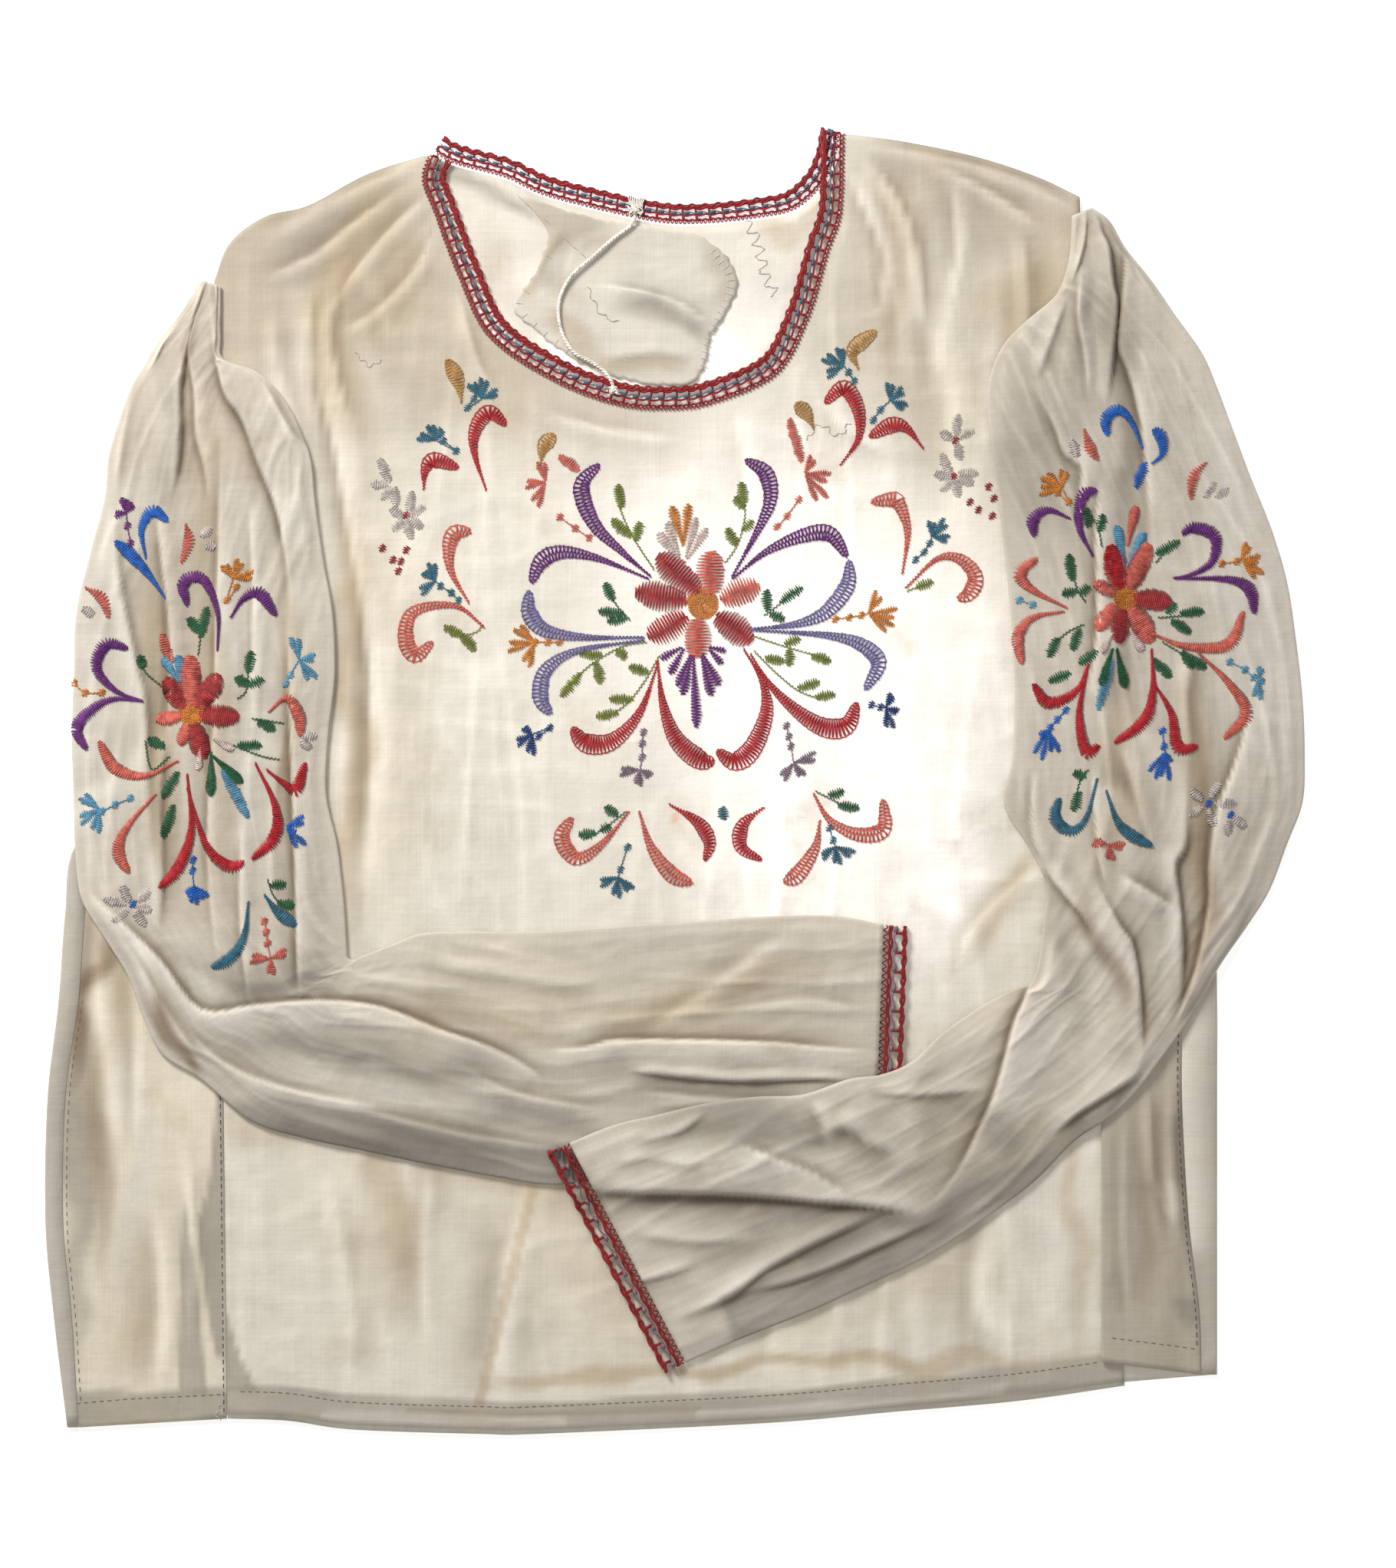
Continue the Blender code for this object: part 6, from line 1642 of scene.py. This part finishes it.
def motif_strokes(motif, scale):
    """The guide lines of one motif, with their half widths; scale thins them for the sleeves."""
    kind = motif.kind
    if kind in SCROLLS:
        start, full, end, peak = SCROLLS[kind]
        line = soft_rows(motif.path, 8)
        return [(line, swelling(len(line), start, full * scale, end, peak))]
    if kind == "stem":
        return [(soft_rows(motif.path, 6), 0.35)]
    root, *tips = np.array(motif.path, float)
    if kind in ("petal", "petal_small", "leaf", "lobe"):
        long = float(np.linalg.norm(tips[0] - root))
        share = np.linspace(0, 1, 12)
        line = root + share[:, None] * (tips[0] - root)
        if kind == "lobe":
            return [(line, swelling(12, 0.5, min(2.5, 0.14 * long + 0.5), 0.8, 0.85))]
        full = {"petal": min(6.9, 0.36 * long) * scale, "petal_small": 2.35, "leaf": 2.6}[kind]
        away = (share - 0.56) / np.where(share < 0.56, 0.6, 0.46)
        return [(line, full * np.sqrt(np.clip(1 - away ** 2, 0.05, 1)))]
    if kind == "disc":
        turn = np.linspace(0, 5.5 * 2 * math.pi, 130)
        out = np.linspace(0.6, 7.2 * scale, 130)
        return [(root + np.column_stack([out * np.cos(turn), out * np.sin(turn)]), 0.75)]
    strokes = []
    if kind == "floret":
        for x, y in tips - root:
            for lean, reach in ((0.17, 1.06), (-0.17, 0.94)):
                turned = np.array([x - lean * y, y + lean * x])
                line = root + np.linspace(0.05, reach, 9)[:, None] * turned
                strokes.append((line, swelling(9, 0.35, 1.5, 0.7, 0.75)))
        return strokes
    offsets = np.linspace(-1.6, 1.6, 9)
    for x, y in motif.path:
        line = np.column_stack([x + 0.5 * offsets, y + offsets])
        strokes.append((line, 1.7 * np.sqrt(np.clip(1 - (offsets / 1.75) ** 2, 0.05, 1))))
    return strokes


def link_strokes(motif, joints):
    """The fine thread that runs from dot to dot, and on to a floret's joint close by."""
    if motif.kind != "dots" or len(motif.path) < 2:
        return []
    path = np.array(motif.path, float)
    for joint in joints:
        for end, turned in ((path[-1], path), (path[0], path[::-1])):
            if np.linalg.norm(end - joint) < 11:
                return [(soft_rows(np.vstack([turned, joint]), 6), 0.2)]
    return [(soft_rows(path, 6) if len(path) > 2 else path, 0.2)]


def edge_strokes(strokes):
    """The two edges of each stroke, where the turns of the stitches lie against one another."""
    return [
        (run_beside(line, sign * np.maximum(widths - 0.25, 0)[:, None])[4:], 0.15)
        for line, widths in strokes for sign in (1, -1)
    ]


def embroider(panel, cloth, motifs, period, loop, radius, scale):
    """One piece for each colour of a panel's embroidery, sewn onto its cloth; sizes in millimetres."""
    joints = [np.array(motif.path[0], float) for motif in motifs if motif.kind == "floret"]
    sorts = {
        "open": (period, radius, 0.5), "plain": (0.86 * period, radius, 0.5), "net": (1.4, 0.36, 0.4),
        "dense": (1.1, 0.3, 1.3), "edge": (3.0, 0.27, 0.3), "line": (1.8, 0.28, 0.5),
    }
    for seed, colour in enumerate(dict.fromkeys(motif.colour for motif in motifs)):
        strokes = {sort: [] for sort in sorts}
        for motif in motifs:
            if motif.colour != colour:
                continue
            sort = SORTS.get(motif.kind, "dense")
            drawn = motif_strokes(motif, scale)
            strokes[sort].extend(drawn)
            if loop > 0 and sort in ("open", "net"):
                strokes["edge"].extend(edge_strokes(drawn))
            strokes["line"].extend(link_strokes(motif, joints))
        parts = []
        for sort, (pace, thick, uneven) in sorts.items():
            if not strokes[sort]:
                continue
            has_loops = sort == "open" and loop > 0
            parts.append(grow(
                f"{panel}_{colour}_{sort}", shared_group("looped_thread", thread_tree), strokes[sort],
                Cloth=cloth, Period=pace * MM, Points=11 if has_loops else 5,
                Loop=loop if has_loops else 0.0, Uneven=uneven, Radius=thick * MM, Sides=4,
                Lift=0.22 * MM, Seed=float(seed), Material=thread_material(colour),
            ))
        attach(joined(f"{panel}_{colour}_embroidery", parts), "root")


def headings(line):
    """The way a line runs at each of its points, one long."""
    step = np.gradient(np.asarray(line, float), axis=0)
    return step / np.linalg.norm(step, axis=1)[:, None]


def run_beside(line, distance):
    """A level line moved to the left of the way it runs."""
    ahead = headings(line)
    return line + distance * np.column_stack([-ahead[:, 1], ahead[:, 0]])


LaceRow = namedtuple("LaceRow", "colour offset swing period phase radius")

# Rows of the crochet edging, from the cloth outwards; the offset is measured from the seam
NECK_ROWS = rows_of(
    LaceRow,
    ("garnet", 0.9, 0.85, 1.9, 0, 0.28),
    ("cherry", 2.1, 0.20, 3.05, 0, 0.52),
    ("cherry", 4.8, 0.25, 6.1, 0.4, 0.50),
    ("ash", 6.1, 0.30, 6.1, 1.9, 0.26),
    ("cherry", 8.7, 0.35, 6.1, 0, 0.68),
    ("cherry", 9.6, 0.30, 3.05, math.pi, 0.72),
    ("cherry", 10.3, 0.55, 6.1, 0.6, 0.62),
)
CUFF_ROWS = rows_of(
    LaceRow,
    ("garnet", 0.9, 1, 3, 0, 0.30),
    ("cherry", 2.6, 0.25, 4.4, 0, 0.52),
    ("cherry", 3.6, 0.40, 8.8, 2, 0.56),
    ("mauve", 5.6, 0.80, 8.8, 0.4, 0.30),
    ("cherry", 9.1, 0.35, 4.4, 0, 0.66),
    ("cherry", 10, 0.45, 8.8, math.pi, 0.68),
)


# Stitches of the edging: they lie across it where across is 1, and along it where it is 0. The first
# stands at the start, measured along the seam.
LaceStitch = namedtuple("LaceStitch", "colour offset pitch length radius across start")
NECK_STITCHES = rows_of(
    LaceStitch,
    ("cherry", 3.4, 6.1, 2.7, 0.66, 1, 0),
    ("ash", 6, 6.1, 2.8, 0.85, 0, 2.6),
    ("cherry", 7.5, 6.1, 2.6, 0.50, 1, 5.4),
    ("cherry", 9.9, 6.1, 3, 0.90, 0, 1.6),
)
CUFF_STITCHES = rows_of(
    LaceStitch,
    ("mauve", 5.4, 8.8, 2.6, 0.80, 0, 0.6),
    ("cherry", 7.4, 8.8, 3.6, 0.66, 1, 3),
    ("cherry", 9.7, 8.8, 3, 0.90, 0, 3),
)


def crochet_band(name, node, line, height, width, lace_rows, stitches):
    """Crochet edging along a line, with the free edge to its left."""
    line = np.column_stack([line, np.broadcast_to(height, len(line))])
    scale = width / LACE_WIDTH
    parts = []
    for index, row in enumerate(lace_rows):
        parts.append(grow(
            f"{name}_row_{index}", shared_group("looped_thread", thread_tree), [(line, 1.0)],
            Period=row.period * MM, Points=6 if row.period < 4 else 9, Loop=0.0, Width=row.swing,
            Offset=row.offset * scale * MM, Phase=row.phase, Uneven=0.9, Radius=row.radius * MM,
            Sides=5, Lift=0.25 * MM, Seed=float(index), Material=thread_material(row.colour),
        ))
    run = run_along(line[:, :2])
    for index, stitch in enumerate(stitches):
        parts.append(grow(
            f"{name}_stitches_{index}", shared_group("spaced_stitches", bar_tree),
            [(line[run >= stitch.start], 1.0)], Spacing=stitch.pitch * MM,
            Offset=stitch.offset * scale * MM,
            Length=stitch.length * (scale if stitch.across else 1) * MM, Radius=stitch.radius * MM,
            Across=stitch.across, Lift=0.3 * MM, Material=thread_material(stitch.colour),
        ))
    piece = joined(name, parts)
    dress(piece, node)
    return piece


def across_line(line, upright):
    """The ways to the side of a line and up from it, at each of its points."""
    ahead = headings(line)
    side = np.cross(ahead, upright)
    side /= np.linalg.norm(side, axis=1)[:, None]
    return side, np.cross(side, ahead)


def tubes(name, lines, radius, material, sides=6):
    """One piece made of capped tubes along lines of points, in millimetres."""
    points, faces = [], []
    turn = np.linspace(0, 2 * math.pi, sides, endpoint=False)[None, :, None]
    for line in lines:
        side, up = across_line(line, [0.05, 0.03, 1.0])
        ring = np.cos(turn) * side[:, None] + np.sin(turn) * up[:, None]
        first = len(points)
        points.extend(((np.asarray(line)[:, None] + radius * ring).reshape(-1, 3) * MM).tolist())
        for start in range(first, len(points) - sides, sides):
            for step in range(sides):
                a, b = start + step, start + (step + 1) % sides
                faces.append((a, b, b + sides, a + sides))
        faces.append(tuple(range(first, first + sides))[::-1])
        faces.append(tuple(range(len(points) - sides, len(points))))
    return smooth_piece(name, points, faces, [material])


def knot_line(place, size, height, turns, seed):
    """A tangle of thread round a place, as a knot shows from above."""
    t = np.linspace(0, 2 * math.pi * turns, 26 * turns)
    out = size * (0.55 + 0.45 * np.sin(1.7 * t + seed))
    x = place[0] + out * np.cos(t + seed)
    y = place[1] + 0.8 * out * np.sin(1.31 * t + 2 * seed)
    z = height + 0.35 * size * (1 + np.sin(2.3 * t + seed))
    return np.column_stack([x, y, z])


def neck_cord():
    """A twisted cord of two plies, from a bundle of thread at the back lace to the front lace."""
    route = smooth_line(CORD_ROUTE, 160)
    height = PILE.read(PILE.settled(4), *route.T) + SEAM_GAP + CORD_DIAMETER / 2
    middle = np.column_stack([route, height])
    run = run_along(middle)
    side, up = across_line(middle, [0, 0, 1])
    ply = CORD_DIAMETER / 4
    lines = []
    for start in (0, math.pi):
        turn = (2 * math.pi * run / CORD_TWIST + start)[:, None]
        lines.append(middle + 0.95 * ply * (np.cos(turn) * side + np.sin(turn) * up))
    white = thread_material("cotton", 0.3, 0.75, 700.0)
    cord = tubes("neck_cord_yarn", lines, 1.05 * ply, white, 8)
    top, bottom = middle[0], middle[-1]
    bundle = [knot_line((top[0] - 1 + k, top[1] + 1.5), 2.6, top[2] - 0.4, 3, 1.3 * k) for k in range(3)]
    for spread in np.linspace(-3.5, 4.5, 9):
        bundle.append(soft_rows([top, top + [0.6 * spread, 4, 0.4], top + [spread, 8.5, -0.6]], 5))
    tie = tubes("cord_tie_thread", bundle, 0.3, white, 5)
    knots = [knot_line((bottom[0], bottom[1] - 0.5), 2.0, bottom[2] - 0.3, 3, k) for k in (0.4, 1.9)]
    knot = tubes("cord_end_knot", knots, 0.36, white, 5)
    for piece in (tie, knot):
        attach(piece, "root")
    dress(cord, "neck_cord")


def neck_laces():
    outside = run_beside(smooth_line(FRONT_NECK, 140), -LACE_LAP)
    seam = run_beside(smooth_line(BACK_NECK, 120), BACK_LACE_SEAM)
    for side, line, height, width in (
        ("front", outside, LACE_LAYER - 0.75, LACE_WIDTH),
        ("back", seam, FLOOR_LAYER, BACK_LACE_WIDTH),
    ):
        PILE.lay(crochet_band(
            f"{side}_neck_crochet", f"neck_lace_{side}", line, height, width, NECK_ROWS, NECK_STITCHES))


def cuff_laces(side, rings):
    """The cuff's edging in its two lying halves, before the sleeve is laid."""
    before, last = np.array(rings[-2:], float)
    ahead = (last[:2] + last[2:4] - before[:2] - before[2:4]) / 2
    ahead /= np.linalg.norm(ahead)
    edge = np.linspace(last[:2], last[2:4], 60)
    run = edge[-1] - edge[0]
    if run[0] * ahead[1] - run[1] * ahead[0] < 0:
        edge = edge[::-1]
    seam = edge + ahead * SEAM_GAP
    rest = PILE.read(PILE.settled(6), *seam.T) + SEAM_GAP + 0.3
    return [
        crochet_band(
            f"{side}_cuff_crochet_{half}", f"{side}_cuff_lace_{half}", seam, rest + extra, LACE_WIDTH,
            CUFF_ROWS, CUFF_STITCHES)
        for half, extra in (("lower", 0), ("upper", LAYER))
    ]


def sew(name, maker, cloth, line, half_width, colour, **inputs):
    """Runs a thread's tree along a line on a cloth."""
    tree = shared_group(*maker)
    piece = grow(
        name, tree, [(line, half_width)], Cloth=bpy.data.objects[f"{cloth}_cloth"],
        Material=thread_material(colour), **inputs)
    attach(piece, "root")


def seams():
    """The stitches that hold the panels together, and thread ends left from mending."""
    y = np.linspace(-144, -286, 60)
    left = np.column_stack([armhole_x(y, -1) - 1.6, y])
    left_lip = smooth_line([(row.seam + 1.8, row.y) for row in LEFT_SIDE[4:]], 60)[:-4]
    right_lip = smooth_line([(row.seam - 1.8, row.y) for row in RIGHT_SIDE[4:]], 60)[:-5]
    hem = smooth_line([(place.x, place.y + 12.6) for place in HEM], 120)[2:-4]
    patch_right = smooth_line(places(13, 190, 16, 204, 23, 219, 25, 231, 17, 242), 40)
    patch_left = smooth_line(places(-58, 240, -65, 227, -71, 217, -61, 206, -44, 193), 40)
    for name, cloth, line, spacing, length, radius, colour, across in (
        ("left_seam", "left_side", left, 3.6, 2.0, 0.24, "slate", 0.0),
        ("left_lip", "left_side", left_lip, 4.2, 2.0, 0.22, "flax", 0.0),
        ("right_lip", "right_side", right_lip, 3.8, 2.1, 0.24, "slate", 0.0),
        ("hem", "front", hem, 3.4, 1.9, 0.2, "flax", 0.0),
        ("right_hem", "right_side", places(200, -253, 215, -255, 236, -258), 3.4, 1.9, 0.2, "flax", 0.0),
        ("left_hem", "left_side", places(-272, -283, -250, -281, -208, -279), 3.4, 1.9, 0.2, "flax", 0.0),
        ("patch_right", "patch", patch_right, 3.1, 3.4, 0.22, "white", 1.0),
        ("patch_left", "patch", patch_left, 6.0, 3.0, 0.2, "white", 1.0),
    ):
        sew(
            f"{name}_stitches", ("spaced_stitches", bar_tree), cloth, line, 1.0, colour,
            Spacing=spacing * MM, Offset=0.0, Length=length * MM, Radius=radius * MM, Across=across,
            Lift=0.06 * MM)
    for index, (cloth, line, half_width, period) in enumerate((
        ("back", places(32, 256, 37, 248, 41, 232, 45, 222), 2.2, 6.5),
        ("patch", places(-40, 226, -34, 214, -26, 210), 0.8, 7.0),
        ("front", places(-146, 196, -139, 190, -134, 193), 0.8, 5.0),
        ("front", places(60, 156, 66, 163, 74, 158, 80, 164), 1.0, 6.0),
        ("left_side", places(-206, -282, -209, -288, -207, -291), 0.4, 4.0),
    )):
        sew(
            f"loose_thread_{index}", ("looped_thread", thread_tree), cloth, soft_rows(line, 10),
            half_width, "white", Period=period * MM, Points=14, Loop=0.0, Uneven=2.5,
            Radius=0.2 * MM, Sides=4, Lift=0.15 * MM, Seed=float(index))


def camera_and_light(stage):
    """The camera looks straight down, as the photograph does, under broad soft light."""
    scene = bpy.context.scene
    camera = bpy.data.cameras.new("camera")
    camera.lens = stage.lens
    camera.sensor_width = stage.sensor
    camera.sensor_fit = "AUTO"
    camera.clip_start = 0.05
    camera.clip_end = 20
    holder = add_object("camera", camera)
    holder.location = (stage.view_x, stage.view_y, stage.view_height * stage.lens / stage.sensor)
    scene.camera = holder
    for name, place, size, power, warmth in (
        ("window_light", (-0.75, 1.15, 1.0), 0.6, stage.window_power, (1.0, 0.99, 0.97)),
        ("fill_light", (1.1, -0.5, 1.3), 1.6, stage.fill_power, (0.97, 0.98, 1.0)),
    ):
        light = bpy.data.lights.new(name, "AREA")
        light.shape = "DISK"
        light.size = size
        light.energy = power
        light.color = warmth
        lamp = add_object(name, light)
        lamp.location = place
        lamp.rotation_euler = (-Vector(place)).to_track_quat("-Z", "Y").to_euler()
    world = bpy.data.worlds.new("soft_room")
    world.use_nodes = True
    fill(world.node_tree, world.node_tree.nodes["Background"], Color=(1, 1, 1, 1), Strength=stage.room_light)
    scene.world = world
    scene.view_settings.view_transform = "Standard"


def floor(stage):
    """A plain white table top."""
    half = stage.floor_size / 2
    mesh = bpy.data.meshes.new("table_top")
    mesh.from_pydata(
        [(-half, -half, 0), (half, -half, 0), (half, half, 0), (-half, half, 0)], [], [(0, 1, 2, 3)])
    material, _, _ = new_material(
        "table_white", Base_Color=(0.9, 0.9, 0.9, 1), Roughness=0.9, Emission_Color=(1, 1, 1, 1),
        Emission_Strength=0.55)
    mesh.materials.append(material)
    add_object("table_top", mesh)


class BlouseStageSettings(bpy.types.PropertyGroup):
    lens: FloatProperty(name="Lens", description="Focal length in millimetres", default=120.0)
    sensor: FloatProperty(name="Sensor", description="Sensor's longer side in millimetres", default=36.0)
    view_height: FloatProperty(
        name="View height", description="Length seen by the camera from top to bottom",
        default=0.7154, unit="LENGTH")
    view_x: FloatProperty(
        name="View X", description="Where the camera looks, across the blouse", default=0.0105,
        unit="LENGTH")
    view_y: FloatProperty(
        name="View Y", description="Where the camera looks, along the blouse", default=-0.0007,
        unit="LENGTH")
    window_power: FloatProperty(
        name="Window light", description="Power of the light from the upper left", default=34.0,
        unit="POWER")
    fill_power: FloatProperty(
        name="Fill light", description="Power of the light from the lower right", default=4.0,
        unit="POWER")
    room_light: FloatProperty(name="Room light", description="Brightness all round", default=0.36)
    floor_size: FloatProperty(
        name="Table size", description="Length of the table top's side", default=6.0, unit="LENGTH")


class BlouseClothSettings(bpy.types.PropertyGroup):
    wall: FloatProperty(
        name="Cloth thickness", description="Thickness of the cotton with its nap", default=0.5 * MM,
        unit="LENGTH", precision=5)
    cell: FloatProperty(
        name="Cell", description="Distance between the points of the cloth", default=2.6 * MM,
        unit="LENGTH", precision=5)
    crease: FloatProperty(name="Crease", description="How strongly the folds stand up", default=1.3)
    # Strength of the painted shade in hollows and of the painted highlight on crests
    valley: FloatProperty(
        name="Valley tone", description="How much darker a hollow of 1 mm is", default=0.34)
    # Strength of the painted shade at the foot of each fold's steep side
    fold_shadow_strength: FloatProperty(
        name="Lap tone", description="How much darker the cloth is where a fold laps it", default=0.5)
    weave: FloatProperty(name="Weave", description="Strength of the woven relief", default=0.35)
    rumple: FloatProperty(name="Rumple", description="Strength of the small rumples", default=0.5)
    stains: FloatProperty(name="Stains", description="How strongly old stains show", default=0.4)
    # Strength of the painted glow that the body's cotton gives off
    painted_glow: FloatProperty(
        name="Glow", description="Light that comes through the body's cloth from below", default=0.26)


class BlouseThreadSettings(bpy.types.PropertyGroup):
    chest_period: FloatProperty(
        name="Chest stitch", description="Length along the chest's motifs from one stitch to the next",
        default=1.65 * MM, unit="LENGTH", precision=5)
    chest_loop: FloatProperty(
        name="Chest loops", description="How far the chest's stitches run back on themselves",
        default=0.3)
    sleeve_period: FloatProperty(
        name="Sleeve stitch", description="Length along the sleeves' motifs from one stitch to the next",
        default=1.05 * MM, unit="LENGTH", precision=5)
    radius: FloatProperty(
        name="Thread radius", description="Radius of the embroidery thread", default=0.4 * MM,
        unit="LENGTH", precision=5)


class BLOUSE_OT_stage(bpy.types.Operator):
    """Add the camera, the lights and the table"""

    bl_idname = "blouse.stage"
    bl_label = "Stage"

    def execute(self, context):
        camera_and_light(context.scene.blouse_stage)
        floor(context.scene.blouse_stage)
        return {"FINISHED"}


class BLOUSE_OT_body(bpy.types.Operator):
    """Add the back, the patch, the front and the side panels"""

    bl_idname = "blouse.body"
    bl_label = "Body"

    def execute(self, context):
        sizes = context.scene.blouse_cloth
        cotton = cotton_material("body_cotton", sizes, sizes.painted_glow)
        # The patch's cotton gets half the painted glow, so it looks darker
        worn = cotton_material("patch_cotton", sizes, 0.5 * sizes.painted_glow)
        cloth = Cloth(context)
        PILE.lay(cloth.back(cotton))
        PILE.lay(cloth.patch(worn))
        for panel in (cloth.front, cloth.left_side, cloth.right_side):
            PILE.lay(panel(cotton))
        return {"FINISHED"}


class BLOUSE_OT_sleeves(bpy.types.Operator):
    """Add the two sleeves, the right one over the left one"""

    bl_idname = "blouse.sleeves"
    bl_label = "Sleeves"

    def execute(self, context):
        sizes = context.scene.blouse_cloth
        # The sleeves' cotton gets a fifth of the painted glow, so they look darker than the body
        cotton = cotton_material("sleeve_cotton", sizes, 0.2 * sizes.painted_glow)
        cloth = Cloth(context)
        laces = cuff_laces("left", LEFT_SLEEVE)
        PILE.lay(cloth.sleeve(
            "left_sleeve_cloth", "left_sleeve", LEFT_SLEEVE, LEFT_SLEEVE_FOLDS, LEFT_SLEEVE_SHADES, -1,
            LEFT_OPEN_RINGS, cotton))
        for lace in laces:
            PILE.lay(lace)
        cuff_laces("right", RIGHT_SLEEVE)
        PILE.lay(cloth.sleeve(
            "right_sleeve_cloth", "right_sleeve", RIGHT_SLEEVE, RIGHT_SLEEVE_FOLDS,
            RIGHT_SLEEVE_SHADES, 1, RIGHT_OPEN_RINGS, cotton))
        return {"FINISHED"}


class BLOUSE_OT_neck(bpy.types.Operator):
    """Add the crochet edging round the neck, and the cord"""

    bl_idname = "blouse.neck"
    bl_label = "Neck lace and cord"

    def execute(self, context):
        neck_laces()
        neck_cord()
        return {"FINISHED"}


class BLOUSE_OT_embroidery(bpy.types.Operator):
    """Sew the flowers on the chest and the sleeves"""

    bl_idname = "blouse.embroidery"
    bl_label = "Embroidery"

    def execute(self, context):
        thread = context.scene.blouse_thread
        panels = (
            ("chest", "front_cloth", CHEST_MOTIFS, thread.chest_period, thread.chest_loop, 1.0),
            ("left_sleeve", "left_sleeve_cloth", LEFT_SLEEVE_MOTIFS, thread.sleeve_period, 0.0, 0.82),
            ("right_sleeve", "right_sleeve_cloth", RIGHT_SLEEVE_MOTIFS, thread.sleeve_period, 0.0, 0.82),
        )
        for panel, cloth, motifs, period, loop, scale in panels:
            if cloth not in bpy.data.objects:
                self.report({"ERROR"}, f"{cloth} isn't there: add the body and the sleeves first")
                return {"CANCELLED"}
            embroider(
                panel, bpy.data.objects[cloth], motifs, period / MM, loop, thread.radius / MM, scale)
        return {"FINISHED"}


class BLOUSE_OT_sewing(bpy.types.Operator):
    """Sew the seams and the hems, and leave a few thread ends"""

    bl_idname = "blouse.sewing"
    bl_label = "Seams and hems"

    def execute(self, context):
        seams()
        return {"FINISHED"}


class BLOUSE_PT_panel(bpy.types.Panel):
    """Lists the pieces of the blouse"""

    bl_idname = "BLOUSE_PT_panel"
    bl_label = "Embroidered blouse"
    bl_space_type = "VIEW_3D"
    bl_region_type = "UI"
    bl_category = "Blouse"

    def draw(self, context):
        for operator in OPERATORS:
            self.layout.operator(operator.bl_idname)
        for group in SETTINGS:
            settings = getattr(context.scene, group)
            box = self.layout.box()
            for label in settings.bl_rna.properties.keys():
                if label not in ("rna_type", "name"):
                    box.prop(settings, label)


SETTINGS = {
    "blouse_stage": BlouseStageSettings,
    "blouse_cloth": BlouseClothSettings,
    "blouse_thread": BlouseThreadSettings,
}
OPERATORS = (
    BLOUSE_OT_stage, BLOUSE_OT_body, BLOUSE_OT_neck, BLOUSE_OT_sleeves, BLOUSE_OT_embroidery,
    BLOUSE_OT_sewing,
)


def register():
    for kind in (*SETTINGS.values(), *OPERATORS, BLOUSE_PT_panel):
        bpy.utils.register_class(kind)
    for name, kind in SETTINGS.items():
        setattr(bpy.types.Scene, name, PointerProperty(type=kind))


def unregister():
    for name in SETTINGS:
        delattr(bpy.types.Scene, name)
    for kind in (BLOUSE_PT_panel, *OPERATORS[::-1], *SETTINGS.values()):
        bpy.utils.unregister_class(kind)


def main():
    register()
    bpy.ops.blouse.stage()
    bpy.ops.blouse.body()
    bpy.ops.blouse.neck()
    bpy.ops.blouse.sleeves()
    bpy.ops.blouse.embroidery()
    bpy.ops.blouse.sewing()


if __name__ == "__main__":
    main()
